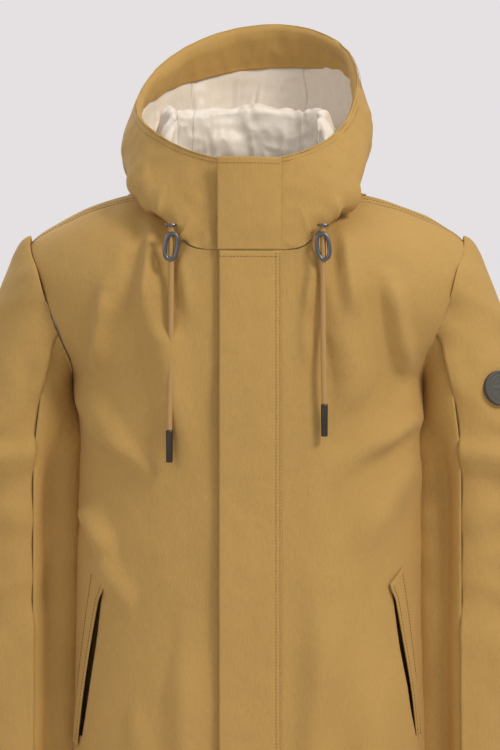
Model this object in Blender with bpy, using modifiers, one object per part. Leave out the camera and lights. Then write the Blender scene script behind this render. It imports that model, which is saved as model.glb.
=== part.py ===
"""Hooded cotton parka, worn on an invisible form: shell, lining, hood, zip, storm flap and drawcord.

Frame: metres, +Z up, the front faces -Y, and +X is the wearer's left. The origin is the hanger
loop at the inside of the back neck, which is what the coat hangs by.
"""
import math

import bmesh
import bpy
from mathutils import Matrix, Vector

# Overall sizes of a men's medium
BODY_LENGTH = 0.860  # hanger loop to hem
CHEST_HALF = 0.184  # half of the width below the arms
HEM_HALF = 0.197
SHOULDER_HALF = 0.235  # centre line to the armhole seam at the shoulder
SLEEVE_LENGTH = 0.640
AXIS_Y = -0.055  # the body's upright axis lies this far in front of the hanger loop
FRONT_DEPTH = 0.132  # axis to the front centre line at the neck
FRONT_LEAN = 0.0209  # how much further forward the front is for each metre down
BACK_DEPTH = 0.140
ROUNDNESS = 2.4  # exponent of the body's rounded section

# Shoulders and neck
SHOULDER_TIP_Z = -0.0635
UNDERARM_Z = -0.215
NAPE_RIDGE = 0.020  # the shoulder ridge carried on to the centre line
NECK_RIDGE = -0.005  # the ridge where it meets the side of the neck
SHOULDER_FALL = 0.120  # drop below the ridge at which the chest has its full depth
FALL_POWER = 1.8
NECK_HALF = 0.085
FRONT_NECK_Z = -0.078
SHOULDER_SEAM_DROP = 0.012  # the forward shoulder seam lies this far under the ridge
TIP_SEAM_DROP = 0.006  # and this far at the shoulder tip
TIP_MARGIN = 0.004  # the panels end this far inside the shoulder tip
ARM_FULLNESS = 0.027  # how far the body's form runs on past the shoulder tip
YOKE_SEAM_Z = -0.095

# Hood: an oval rim, low in front and high behind
RIM_HALF = 0.120
RIM_FRONT_Z = 0.016
RIM_BACK_Z = 0.187
RIM_BACK_DEPTH = 0.125
RIM_LEAN = 0.15  # the wearer's left side of the hood stands higher
HOOD_SIDE_SWELL = 0.056  # how hard the hood bulges outward above its neck seam
HOOD_BACK_SWELL = 0.088
HOOD_SIDE_LEAN = 0.022  # how far it stands out below its rim
HOOD_BACK_LEAN = 0.042
HOOD_LIFT = 0.0022  # the neck seam's allowance under the hood
CENTRE_PANEL_TURN = 152.0  # degrees round from the front to the seam of the centre panel
ROLL_HEIGHT = 0.092  # the lining rolls over this high behind the neck
SIDE_ROLL_HEIGHT = 0.084

# Cloth and gaps
CLOTH = 0.0012
LINING = 0.0008
SEAM_GAP = 0.0006
LINING_INSET = 0.0062
FACING_INSET = 0.0104
CHANNEL_INSET = 0.0058  # the rim cord lies this far inside the hood
POCKET_DEPTH = 0.011

# Front closure
FLAP_FREE_X = -0.029
FLAP_HINGE_X = 0.036
FLAP_LIFT = 0.0066
FLAP_ROOT_LIFT = 0.0024
FLAP_CLOTH = 0.0014
FRONT_EDGE_X = 0.0062
CHAIN_HALF = 0.0034
ZIP_TOP_Z = 0.010
ZIP_BOTTOM = 0.012  # from the hem
SNAP_X = -0.019
SNAP_RADIUS = 0.006
SNAP_FIRST_Z = -0.130
SNAP_PITCH = 0.180
SNAP_COUNT = 4

# Sleeves
SLEEVE_X = 0.2455
SLEEVE_HALF_WIDTH = 0.055
SLEEVE_HALF_DEPTH = 0.069
CUFF_HALF_WIDTH = 0.050
CUFF_HALF_DEPTH = 0.054
SLEEVE_SETTLE = 0.27  # share of the length in which the sleeve head becomes a tube
SLEEVE_TOP = 0.998  # the sleeve stops this close to the armhole seam
SLEEVE_LINING_TOP = 0.985
SLEEVE_SEAM = 20.0  # degrees from straight ahead and straight behind to its seams
BADGE_RADIUS = 0.0185
BADGE_TURN = 30.0
BADGE_Z = -0.222
BADGE_THICKNESS = 0.0018
BADGE_STAND = 0.0022  # its back lies this far off the sleeve at its middle
BADGE_BEND = 0.070  # radius that it is bent to round the sleeve

# Pockets, in degrees round from the front and metres up
POCKET_TOP_Z = -0.412
POCKET_LENGTH = 0.190
POCKET_TOP_TURN = 59.0
POCKET_END_TURN = 78.0
POCKET_FLAP_WIDTH = 0.027
POCKET_FLAP_LIFT = 0.0030
POCKET_HINGE_LIFT = 0.0020

# Drawcord
CORD_RADIUS = 0.0029
CORD_X = 0.079
CORD_STAND = 0.0048  # the cord hangs this far in front of the shoulders' fullest line
CORD_TOP_Z = -0.050
CORD_LENGTHS = {"left": 0.189, "right": 0.216}  # from the eyelet to the crimped end
TIP_LENGTH = 0.033
LOCK_HEIGHT = 0.033
LOCK_WIDTH = 0.0170
LOCK_DEPTH = 0.0094
LOCK_TOP_Z = -0.058
LOCK_CLEARANCE = 0.0005


def clear_scene():
    for item in list(bpy.data.objects):
        bpy.data.objects.remove(item, do_unlink=True)


def new_collection(name):
    collection = bpy.data.collections.new(name)
    bpy.context.scene.collection.children.link(collection)
    return collection


clear_scene()
PARTS = new_collection("hooded_parka")
CUTTERS = new_collection("cutters")


def new_material(name, colour, roughness, metallic=0.0):
    material = bpy.data.materials.new(name)
    material.use_nodes = True
    shader = material.node_tree.nodes["Principled BSDF"]
    shader.inputs["Base Color"].default_value = (*colour, 1.0)
    shader.inputs["Roughness"].default_value = roughness
    shader.inputs["Metallic"].default_value = metallic
    material.diffuse_color = (*colour, 1.0)
    return material


SHELL = new_material("camel_cotton", (0.445, 0.275, 0.090), 0.85)
SATIN = new_material("cream_satin", (0.740, 0.690, 0.600), 0.40)
BAG = new_material("pocket_twill", (0.360, 0.240, 0.100), 0.90)
TAPE = new_material("zip_tape", (0.300, 0.200, 0.090), 0.80)
BRAID = new_material("braided_cord", (0.520, 0.345, 0.135), 0.85)
GUNMETAL = new_material("gunmetal", (0.120, 0.125, 0.130), 0.35, 1.0)
RUBBER = new_material("moulded_rubber", (0.095, 0.092, 0.085), 0.60)


# ---------------------------------------------------------------- curves and surfaces

def through(keys, at):
    """A smooth curve through (place, value) keys, sorted by place, flat past both ends."""
    if at <= keys[0][0]:
        return keys[0][1]
    if at >= keys[-1][0]:
        return keys[-1][1]
    slopes = [(b[1] - a[1]) / (b[0] - a[0]) for a, b in zip(keys, keys[1:])]
    index = max(i for i in range(len(slopes)) if keys[i][0] <= at)
    bends = [0.0] + [2 * a * b / (a + b) if a * b > 0 else 0.0 for a, b in zip(slopes, slopes[1:])] + [0.0]
    (x0, y0), (x1, y1) = keys[index], keys[index + 1]
    width = x1 - x0
    t = (at - x0) / width
    start = (1 + 2 * t) * (1 - t) ** 2 * y0 + t * (1 - t) ** 2 * width * bends[index]
    return start + t * t * (3 - 2 * t) * y1 + t * t * (t - 1) * width * bends[index + 1]


def mix(a, b, share):
    return a + (b - a) * share


def smooth_step(low, high, at):
    t = min(max((at - low) / (high - low), 0.0), 1.0)
    return t * t * (3 - 2 * t)


def signed_power(value, power):
    return math.copysign(abs(value) ** power, value)


def half_width(z):
    tip = SHOULDER_HALF + ARM_FULLNESS
    keys = [(-BODY_LENGTH, HEM_HALF), (-0.60, CHEST_HALF + 0.006), (-0.40, CHEST_HALF + 0.002),
            (-0.25, CHEST_HALF), (UNDERARM_Z, CHEST_HALF + 0.003), (UNDERARM_Z + 0.020, CHEST_HALF + 0.013),
            (-0.170, mix(CHEST_HALF, tip, 0.40)), (-0.140, mix(CHEST_HALF, tip, 0.65)),
            (-0.100, tip - 0.007), (-0.050, tip)]
    return through(keys, z)


def armhole_x(z):
    tip = SHOULDER_HALF - CHEST_HALF
    keys = [(UNDERARM_Z, CHEST_HALF + 0.003), (-0.195, CHEST_HALF + 0.12 * tip),
            (-0.170, CHEST_HALF + 0.30 * tip), (-0.140, CHEST_HALF + 0.53 * tip),
            (-0.100, CHEST_HALF + 0.77 * tip), (SHOULDER_TIP_Z, SHOULDER_HALF)]
    return min(through(keys, z), half_width(z))


def ridge(x, in_front=False):
    """Height of the top of the shoulder at x. The front is carried up inside the neck."""
    keys = [(0.0, NAPE_RIDGE), (NECK_HALF, NECK_RIDGE), (0.133, -0.0135), (0.177, -0.028),
            (0.95 * SHOULDER_HALF, -0.053), (SHOULDER_HALF, SHOULDER_TIP_Z),
            (SHOULDER_HALF + ARM_FULLNESS, SHOULDER_TIP_Z - 0.036)]
    height = through(keys, abs(x))
    if in_front and abs(x) < NECK_HALF:
        height += 0.12 * (1 - (x / NECK_HALF) ** 2) ** 2
    return height


def fullness(drop):
    """Share of the full depth that the body has at a drop below the shoulder ridge."""
    share = min(max(drop / SHOULDER_FALL, 0.0), 1.0)
    return (1 - (1 - share) ** FALL_POWER) ** (1 / FALL_POWER)


def drop_at(share):
    """The drop below the ridge where the body has a share of its full depth."""
    return SHOULDER_FALL * (1 - (1 - min(abs(share), 1.0) ** FALL_POWER) ** (1 / FALL_POWER))


def front_depth(z):
    return FRONT_DEPTH - FRONT_LEAN * z


def torso(turn, z, inset=0.0):
    """A point of the body: turn in degrees from the front, 90 at the wearer's left side."""
    side = math.sin(math.radians(turn))
    ahead = math.cos(math.radians(turn))
    x = (half_width(z) - inset) * signed_power(side, 2 / ROUNDNESS)
    depth = (front_depth(z) if ahead > 0 else BACK_DEPTH) - inset
    full = fullness(ridge(x, ahead > 0) - inset - z)
    return Vector((x, AXIS_Y - depth * full * signed_power(ahead, 2 / ROUNDNESS), z))


def turn_at(x, z):
    """The turn from the front at which the body is x from the centre line."""
    share = min(abs(x) / half_width(z), 1.0)
    return math.copysign(math.degrees(math.asin(share ** (ROUNDNESS / 2))), x)


def shoulder(x, share, inset=0.0):
    """A point over the shoulder: share is -1 at full depth in front, 0 on the ridge, 1 behind."""
    z = ridge(x) - inset - drop_at(share)
    depth = (front_depth(z) if share < 0 else BACK_DEPTH) - inset
    across = max(1 - (abs(x) / (half_width(z) - inset)) ** ROUNDNESS, 0.0) ** (1 / ROUNDNESS)
    return Vector((x, AXIS_Y + share * depth * across, z))


def shoulder_height(x, y):
    """Height of the body's top surface over a place, or None outside it."""
    wide = half_width(0.0)
    if abs(x) >= wide:
        return None
    depth = front_depth(0.0) if y < AXIS_Y else BACK_DEPTH
    share = abs(y - AXIS_Y) / (depth * (1 - (abs(x) / wide) ** ROUNDNESS) ** (1 / ROUNDNESS))
    return ridge(x) - drop_at(share) if share < 1 else None


def neck_point(turn):
    """The neck seam: turn 0 in front, 90 on the forward shoulder seam, 180 behind."""
    side = math.copysign(1.0, math.sin(math.radians(turn))) if turn % 180 else 1.0
    around = abs((turn + 180) % 360 - 180)
    seam = fullness(SHOULDER_SEAM_DROP)
    if around < 90:
        share = around / 90
        z = mix(FRONT_NECK_Z, ridge(NECK_HALF) - SHOULDER_SEAM_DROP, share ** 2)
        x = NECK_HALF * share ** (2 / 7)
        return torso(side * turn_at(x, z), z)
    swing = math.radians(around - 90)
    start = math.asin(seam / 0.5)
    angle = mix(-start, math.pi / 2, swing / (math.pi / 2))
    return shoulder(side * NECK_HALF * math.cos(angle) / math.cos(min(start, abs(angle)) if angle < 0 else 0),
                    0.5 * math.sin(angle))


def outward(turn):
    angle = math.radians(turn)
    return Vector((math.sin(angle), -math.cos(angle), 0.0))


def rim_point(turn):
    """The hood's rim, an oval that is low in front and high behind and leans a little."""
    angle = math.radians(turn)
    z = mix(RIM_FRONT_Z, RIM_BACK_Z, (1 - math.cos(angle)) / 2)
    x = RIM_HALF * math.sin(angle)
    front = front_depth(RIM_FRONT_Z)
    y = AXIS_Y + mix(-front, RIM_BACK_DEPTH, (1 - math.cos(angle)) / 2)
    return Vector((x, y, z + RIM_LEAN * x * smooth_step(0.03, 0.13, z)))


def hood(turn, height):
    """A point of the hood's outside: height 0 at the neck seam, 1 at the rim."""
    back = smooth_step(90, 180, abs((turn + 180) % 360 - 180))
    front = 1 - smooth_step(15, 75, abs((turn + 180) % 360 - 180))
    low = neck_point(turn) + Vector((0, 0, HOOD_LIFT))
    top = rim_point(turn)
    rise = top - low
    swell = mix(HOOD_SIDE_SWELL, HOOD_BACK_SWELL, back) * (1 - front)
    lean = mix(HOOD_SIDE_LEAN, HOOD_BACK_LEAN, back) * (1 - front)
    first = low + outward(turn) * swell + Vector((0, 0, mix(mix(0.006, -0.012, back), rise.z / 3, front)))
    second = top + outward(turn) * lean - Vector((0, 0, mix(mix(0.050, 0.080, back), rise.z / 3, front)))
    first += Vector((rise.x, rise.y, 0.0)) * front / 3
    second -= Vector((rise.x, rise.y, 0.0)) * front / 3
    t = height
    point = low * (1 - t) ** 3 + first * 3 * t * (1 - t) ** 2 + second * 3 * t * t * (1 - t) + top * t ** 3
    floor = shoulder_height(point.x, point.y)
    if floor is not None:
        point.z = max(point.z, floor + 0.0035 * smooth_step(0.0, 0.1, t) + 0.0012)
    return point


def normal_of(surface, u, v, step=0.002):
    low_u, high_u = max(u - step, 0.0), min(u + step, 1.0)
    low_v, high_v = max(v - step, 0.0), min(v + step, 1.0)
    across = surface(high_u, v) - surface(low_u, v)
    along = surface(u, high_v) - surface(u, low_v)
    return across.cross(along).normalized()


def sunk(surface, inset):
    """The same surface, a distance inside its own skin."""
    return lambda u, v: surface(u, v) - normal_of(surface, u, v) * inset


def mirrored(surface):
    """The same panel on the other side of the centre line."""
    def place(u, v):
        point = surface(1 - u, v)
        return Vector((-point.x, point.y, point.z))
    return place


def panel_between(bottom, top, left, right):
    """A panel's plan between four edges, each a function of 0..1 that gives a pair."""
    def plan(u, v):
        pair = []
        for i in (0, 1):
            edges = (1 - v) * bottom(u)[i] + v * top(u)[i] + (1 - u) * left(v)[i] + u * right(v)[i]
            corners = ((1 - u) * (1 - v) * bottom(0)[i] + u * (1 - v) * bottom(1)[i]
                       + (1 - u) * v * top(0)[i] + u * v * top(1)[i])
            pair.append(edges - corners)
        return pair
    return plan


# ---------------------------------------------------------------- building blocks

def finish(item, material):
    item.data.materials.clear()
    item.data.materials.append(material)
    item.data.shade_smooth()
    return item


def new_object(name, mesh, material, collection=PARTS):
    item = bpy.data.objects.new(name, mesh)
    collection.objects.link(item)
    return finish(item, material)


def cloth(name, surface, across, along, material, thickness=CLOTH, collection=PARTS):
    """A panel of cloth: a grid laid on a surface, with its thickness inside."""
    shape = bmesh.new()
    bmesh.ops.create_grid(shape, x_segments=across, y_segments=along, size=0.5)
    for corner in shape.verts:
        corner.co = surface(corner.co.x + 0.5, corner.co.y + 0.5)
    mesh = bpy.data.meshes.new(name)
    shape.to_mesh(mesh)
    shape.free()
    item = new_object(name, mesh, material, collection)
    wall = item.modifiers.new("thickness", 'SOLIDIFY')
    wall.thickness = thickness
    wall.offset = -1
    return item


def applied(item):
    """Turn an object and its modifiers into one plain mesh."""
    graph = bpy.context.evaluated_depsgraph_get()
    mesh = bpy.data.meshes.new_from_object(item.evaluated_get(graph))
    item.modifiers.clear()
    item.data = mesh
    return item


def cut(item, cutter):
    """Take the cutter's space out of a piece."""
    cutter.hide_render = True
    cutter.display_type = 'WIRE'
    bpy.context.view_layer.update()
    tool = item.modifiers.new("cut_" + cutter.name, 'BOOLEAN')
    tool.operation = 'DIFFERENCE'
    tool.solver = 'EXACT'
    tool.object = cutter


FRONT_ANGLE = math.atan(FRONT_LEAN)
FRONT_FRAME = (Matrix.Translation((0, AXIS_Y - FRONT_DEPTH, 0)) @ Matrix.Rotation(-FRONT_ANGLE, 4, 'X'))


def block(name, low, high, material, frame=FRONT_FRAME, bevel=0.0, collection=PARTS):
    """A box between two corners. In the front frame y is the depth into the coat."""
    shape = bmesh.new()
    bmesh.ops.create_cube(shape, size=1.0)
    size = Vector(high) - Vector(low)
    middle = (Vector(high) + Vector(low)) / 2
    bmesh.ops.scale(shape, vec=size, verts=shape.verts)
    if bevel:
        bmesh.ops.bevel(shape, geom=shape.edges[:], offset=bevel, segments=1, affect='EDGES')
    bmesh.ops.transform(shape, matrix=frame @ Matrix.Translation(middle), verts=shape.verts)
    mesh = bpy.data.meshes.new(name)
    shape.to_mesh(mesh)
    shape.free()
    return new_object(name, mesh, material, collection)


def barrel(name, radii, length, frame, material, sides=16, collection=PARTS):
    """A straight or tapered round piece along the frame's z."""
    shape = bmesh.new()
    bmesh.ops.create_cone(shape, cap_ends=True, segments=sides, radius1=radii[0], radius2=radii[1], depth=length)
    bmesh.ops.transform(shape, matrix=frame, verts=shape.verts)
    mesh = bpy.data.meshes.new(name)
    shape.to_mesh(mesh)
    shape.free()
    return new_object(name, mesh, material, collection)


def tube(name, points, radius, material, resolution=2):
    """A cord along a poly line."""
    curve = bpy.data.curves.new(name, 'CURVE')
    curve.dimensions = '3D'
    spline = curve.splines.new('POLY')
    spline.points.add(len(points) - 1)
    for knot, point in zip(spline.points, points):
        knot.co = (*point, 1.0)
    curve.bevel_depth = radius
    curve.bevel_resolution = resolution
    curve.use_fill_caps = True
    item = bpy.data.objects.new(name, curve)
    PARTS.objects.link(item)
    curve.materials.append(material)
    return item


def smooth_route(points, count):
    """Points along a smooth curve through a route's own points."""
    ends = [points[0] * 2 - points[1], *points, points[-1] * 2 - points[-2]]
    spans = len(points) - 1
    result = []
    for i in range(count):
        place = i / (count - 1) * spans
        k = min(int(place), spans - 1)
        t = place - k
        a, b, c, d = ends[k:k + 4]
        result.append((b * 2 + (c - a) * t + (a * 2 - b * 5 + c * 4 - d) * t ** 2
                       + (b * 3 - a - c * 3 + d) * t ** 3) / 2)
    return result


# ---------------------------------------------------------------- body panels

SIDE_SHARE = 0.50  # share of a panel's rows that the side seam takes, the armhole taking the rest


def side_edge(v, behind, inset):
    """Up the side seam and on round the armhole: the turn and the height."""
    gap_turn = math.degrees(SEAM_GAP / 0.14)
    top = YOKE_SEAM_Z - SEAM_GAP - inset if behind else ridge(SHOULDER_HALF - TIP_MARGIN) - TIP_SEAM_DROP - inset
    if v < SIDE_SHARE:
        turn, z = 90 - gap_turn, mix(-BODY_LENGTH, UNDERARM_Z, v / SIDE_SHARE)
    else:
        share = (v - SIDE_SHARE) / (1 - SIDE_SHARE)
        z = mix(UNDERARM_Z, top, share ** 1.4)
        turn = min(turn_at(armhole_x(z) - 0.0008, z), 90 - gap_turn)
    turn = turn - math.degrees(inset / 0.14) * 0.5
    return (180 - turn, z) if behind else (turn, z)


def front_top(u, inset, start_x):
    """Along the front neck and the forward shoulder seam."""
    corner_z = ridge(NECK_HALF) - SHOULDER_SEAM_DROP
    if u < 0.4:
        share = u / 0.4
        x = mix(start_x, NECK_HALF, share ** (2 / 7))
        z = mix(FRONT_NECK_Z, corner_z, share ** 2)
        return turn_at(x, z - inset), z - inset
    share = (u - 0.4) / 0.6
    tip_turn, tip_z = side_edge(1, False, inset)
    x = mix(NECK_HALF, SHOULDER_HALF - TIP_MARGIN, share)
    z = ridge(x) - mix(SHOULDER_SEAM_DROP, TIP_SEAM_DROP, share)
    if u == 1:
        return tip_turn, tip_z
    return mix(turn_at(x, z), tip_turn, share ** 6), mix(z - inset, tip_z, share ** 6)


def lining_inset(z):
    """The lining lies further inside where the pocket bags hang."""
    low = POCKET_TOP_Z - POCKET_LENGTH - 0.06
    room = smooth_step(low - 0.09, low, z) * (1 - smooth_step(POCKET_TOP_Z + 0.02, POCKET_TOP_Z + 0.12, z))
    return LINING_INSET + (POCKET_DEPTH + 0.0005) * room


def front_plan(inset, start_x):
    def start(v):
        z = through([(0, -BODY_LENGTH), (SIDE_SHARE, UNDERARM_Z - 0.04), (1, FRONT_NECK_Z - inset)], v)
        return turn_at(start_x, z), z

    def hem(u):
        first = turn_at(start_x, -BODY_LENGTH)
        return mix(first, side_edge(0, False, inset)[0], u), -BODY_LENGTH

    return panel_between(hem, lambda u: front_top(u, inset, start_x), start,
                         lambda v: side_edge(v, False, inset))


def front_surface(u, v):
    turn, z = front_plan(0.0, FRONT_EDGE_X)(u, v)
    return torso(turn, z)


def front_lining_surface(u, v):
    turn, z = front_plan(LINING_INSET, 0.0190)(u, v)
    return torso(turn, z, lining_inset(z))


def back_plan(inset):
    top_z = YOKE_SEAM_Z - SEAM_GAP - inset

    def seam(u):
        turn = side_edge(1, True, inset)[0]
        return mix(turn, 360 - turn, u), top_z

    def hem(u):
        turn = side_edge(0, True, inset)[0]
        return mix(turn, 360 - turn, u), -BODY_LENGTH

    def far(v):
        turn, z = side_edge(v, True, inset)
        return 360 - turn, z

    return panel_between(hem, seam, lambda v: side_edge(v, True, inset), far)


def back_surface(u, v):
    turn, z = back_plan(0.0)(u, v)
    return torso(turn, z)


def back_lining_surface(u, v):
    turn, z = back_plan(LINING_INSET)(u, v)
    return torso(turn, z, lining_inset(z))


def yoke_plan(inset):
    """Over both shoulders and round the back neck: x and the share of the depth."""
    seam = -fullness(SHOULDER_SEAM_DROP - 2 * SEAM_GAP)
    tip_seam = -fullness(TIP_SEAM_DROP - 6 * SEAM_GAP)
    tip = SHOULDER_HALF - TIP_MARGIN

    def inner(u):
        side = -1 if u < 0.5 else 1
        s = abs(u - 0.5) * 2
        if s > 0.5:
            share = (s - 0.5) / 0.5
            return side * mix(NECK_HALF + 0.001, tip, share), mix(seam, tip_seam, share)
        angle = mix(math.pi / 2, math.asin(seam / 0.5), s / 0.5)
        widen = 1 / math.cos(math.asin(seam / 0.5)) if angle < 0 else 1.0
        return side * (NECK_HALF + 0.001) * math.cos(angle) * widen, 0.5 * math.sin(angle) + 0.012 * (1 - s)

    def outer(u):
        x = (armhole_x(YOKE_SEAM_Z) - 0.0008) * (u - 0.5) * 2
        return x, fullness(ridge(x) - YOKE_SEAM_Z)

    def end(v, side):
        z = mix(SHOULDER_TIP_Z, YOKE_SEAM_Z, smooth_step(0.12, 1.0, v))
        rise = fullness(ridge(armhole_x(z)) - z)
        x = mix(tip, armhole_x(z) - 0.0008, smooth_step(0.0, 0.3, v))
        return side * x, mix(tip_seam, rise, v ** 0.5) if v < 1 else outer(1)[1]

    plan = panel_between(inner, outer, lambda v: end(v, -1), lambda v: end(v, 1))

    def surface(u, v):
        x, share = plan(u, v)
        return shoulder(x, share, inset)
    return surface


def make_body():
    cloth("front_panel_left", front_surface, 8, 14, SHELL)
    cloth("front_panel_right", mirrored(front_surface), 8, 14, SHELL)
    cloth("back_panel", back_surface, 12, 12, SHELL)
    cloth("back_yoke", yoke_plan(0.0), 20, 5, SHELL)
    cloth("front_lining_left", front_lining_surface, 8, 14, SATIN, LINING)
    cloth("front_lining_right", mirrored(front_lining_surface), 8, 14, SATIN, LINING)
    cloth("back_lining", back_lining_surface, 12, 12, SATIN, LINING)
    cloth("yoke_lining", yoke_plan(LINING_INSET), 20, 5, SATIN, LINING)


# ---------------------------------------------------------------- sleeves

def armhole(turn):
    """The armhole seam: turn 0 in front, 90 at the shoulder tip, -90 under the arm."""
    angle = math.radians(turn)
    z = mix(UNDERARM_Z, SHOULDER_TIP_Z, (1 + math.sin(angle)) / 2)
    seam = turn_at(armhole_x(z), z)
    point = torso(seam if math.cos(angle) > 0 else 180 - seam, z)
    return point + Vector((0.0009, 0, 0))


def sleeve(turn, height):
    """A point of the left sleeve: height 0 at the cuff, 1 at the armhole."""
    angle = math.radians(turn)
    seam = armhole(turn)
    down = 1 - height
    z = mix(seam.z, SHOULDER_TIP_Z - SLEEVE_LENGTH, down)
    along = (SHOULDER_TIP_Z - z) / SLEEVE_LENGTH
    wide = mix(SLEEVE_HALF_WIDTH, CUFF_HALF_WIDTH, along)
    deep = mix(SLEEVE_HALF_DEPTH, CUFF_HALF_DEPTH, along)
    ring = Vector((SLEEVE_X + wide * math.sin(angle), AXIS_Y - 0.012 * along - deep * math.cos(angle), z))
    return seam.lerp(ring, smooth_step(0, SLEEVE_SETTLE, down))


def sleeve_panel(start, end, inset):
    """A panel of the sleeve, with its rows closer together near the armhole."""
    gap = math.degrees(SEAM_GAP / SLEEVE_HALF_DEPTH)
    top = SLEEVE_TOP if inset == 0 else SLEEVE_LINING_TOP

    def skin(u, v):
        return sleeve(mix(start + gap, end - gap, u), (1 - (1 - v) ** 1.7) * top)
    return sunk(skin, inset) if inset else skin


def sleeve_at(turn, z):
    """The point of the sleeve at a true height, found by halving."""
    low, high = 0.0, 1.0
    for _ in range(30):
        middle = (low + high) / 2
        if sleeve(turn, middle).z < z:
            low = middle
        else:
            high = middle
    return sleeve(turn, low)


def badge_frame():
    """The middle of the badge, and the directions round, up and out of the sleeve there."""
    middle = sleeve_at(BADGE_TURN, BADGE_Z)
    round_it = (sleeve_at(BADGE_TURN + 8, BADGE_Z) - sleeve_at(BADGE_TURN - 8, BADGE_Z)).normalized()
    up = sleeve_at(BADGE_TURN, BADGE_Z + BADGE_RADIUS) - sleeve_at(BADGE_TURN, BADGE_Z - BADGE_RADIUS)
    out = round_it.cross(up).normalized()
    return middle, round_it, out.cross(round_it), out


def make_badge():
    shape = bmesh.new()
    bmesh.ops.create_cone(shape, cap_ends=True, segments=28, radius1=BADGE_RADIUS, radius2=BADGE_RADIUS * 0.95,
                          depth=BADGE_THICKNESS)
    middle, round_it, up, out = badge_frame()
    for corner in shape.verts:
        bend = corner.co.x ** 2 / (2 * BADGE_BEND)
        stand = corner.co.z + BADGE_THICKNESS / 2 + BADGE_STAND - bend
        corner.co = middle + round_it * corner.co.x + up * corner.co.y + out * stand
    mesh = bpy.data.meshes.new("sleeve_badge")
    shape.to_mesh(mesh)
    shape.free()
    new_object("sleeve_badge", mesh, RUBBER)


def make_sleeves():
    upper = sleeve_panel(-SLEEVE_SEAM, 180 + SLEEVE_SEAM, 0.0)
    under = sleeve_panel(-180 + SLEEVE_SEAM, -SLEEVE_SEAM, 0.0)
    lining = sleeve_panel(-90, 270, LINING_INSET)
    for side, turned in (("left", lambda s: s), ("right", mirrored)):
        cloth("upper_sleeve_" + side, turned(upper), 12, 8, SHELL)
        cloth("under_sleeve_" + side, turned(under), 8, 8, SHELL)
        cloth("sleeve_lining_" + side, turned(lining), 16, 8, SATIN, LINING)
    make_badge()


# ---------------------------------------------------------------- hood

def hood_panel(start, end, low=0.0, high=1.0):
    gap = math.degrees(SEAM_GAP / RIM_HALF)
    return lambda u, v: hood(mix(start + gap, end - gap, u), mix(low, high, v))


def front_edge_turn():
    """The turn at which the hood's front edge stops beside the zip."""
    return math.degrees(math.asin(FRONT_EDGE_X / RIM_HALF)) + 2.0


def rolled(turn, height):
    """The lining behind the neck: up from the seam, over a roll, down and up again to the rim."""
    base = neck_point(turn)
    top = rim_point(turn)
    reach = Vector((top.x - base.x, top.y - base.y, 0.0))
    back = smooth_step(90, 180, abs((turn + 180) % 360 - 180))
    peak = mix(SIDE_ROLL_HEIGHT, ROLL_HEIGHT, back)
    rise = top.z - base.z
    outs = [(0.0, -0.15), (0.15, -0.36), (0.30, -0.32), (0.40, -0.05), (0.52, 0.24), (0.62, 0.42),
            (0.72, 0.68), (0.86, 0.90), (1.0, 0.88)]
    ups = [(0.0, 0.05 * peak), (0.15, 0.52 * peak), (0.30, 0.90 * peak), (0.40, peak), (0.52, 0.80 * peak),
           (0.62, 0.58 * peak), (0.72, 0.62 * peak), (0.86, 0.56 * rise), (1.0, 0.70 * rise)]
    point = base + reach * through(outs, height)
    point.z = base.z + through(ups, height)
    return point


def hood_lining(turn, height):
    """The satin inside the hood: rolled behind the neck and flat in front."""
    around = abs((turn + 180) % 360 - 180)
    flat_low = 0.03 + 0.80 * height

    def skin(u, v):
        return hood(turn + (u - 0.5) * 4, flat_low + (v - 0.5) * 0.04)
    flat = skin(0.5, 0.5) - normal_of(skin, 0.5, 0.5, 0.2) * mix(0.0035, 0.0085, height)
    return flat.lerp(rolled(turn, height), smooth_step(62, 96, around))


def lining_panel(start, end):
    gap = math.degrees(SEAM_GAP / RIM_HALF)
    return lambda u, v: hood_lining(mix(start + gap, end - gap, u), v)


def make_hood():
    front = front_edge_turn()
    seam = CENTRE_PANEL_TURN
    for name, start, end in (("left", front, seam), ("right", 360 - seam, 360 - front)):
        cloth("hood_side_" + name, hood_panel(start, end), 12, 7, SHELL)
    cloth("hood_centre_panel", hood_panel(seam, 360 - seam), 6, 7, SHELL)
    cloth("hood_facing", sunk(hood_panel(front + 1, 359 - front, 0.88, 0.985), FACING_INSET), 30, 2, SHELL)
    for name, start, end in (("left", front + 4, seam), ("right", 360 - seam, 356 - front)):
        cloth("hood_lining_" + name, lining_panel(start, end), 12, 12, SATIN, LINING)
    cloth("hood_lining_centre", lining_panel(seam, 360 - seam), 6, 12, SATIN, LINING)
    channel = sunk(hood_panel(0, 360, 0.925, 0.935), CHANNEL_INSET)
    route = [channel(mix(0.05, 0.95, i / 47), 0.5) for i in range(48)]
    tube("rim_cord", route, CORD_RADIUS, BRAID)


# ---------------------------------------------------------------- front closure

def flap_surface(low_z, high_z, free_x):
    """A flap over the front: close to it at the hinge line and lifted at the free edge."""
    def place(u, v):
        x = mix(free_x, FLAP_HINGE_X, u)
        lift = mix(FLAP_LIFT, FLAP_ROOT_LIFT, u)
        return FRONT_FRAME @ Vector((x, -lift, mix(low_z, high_z, v) / math.cos(FRONT_ANGLE)))
    return place


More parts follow.
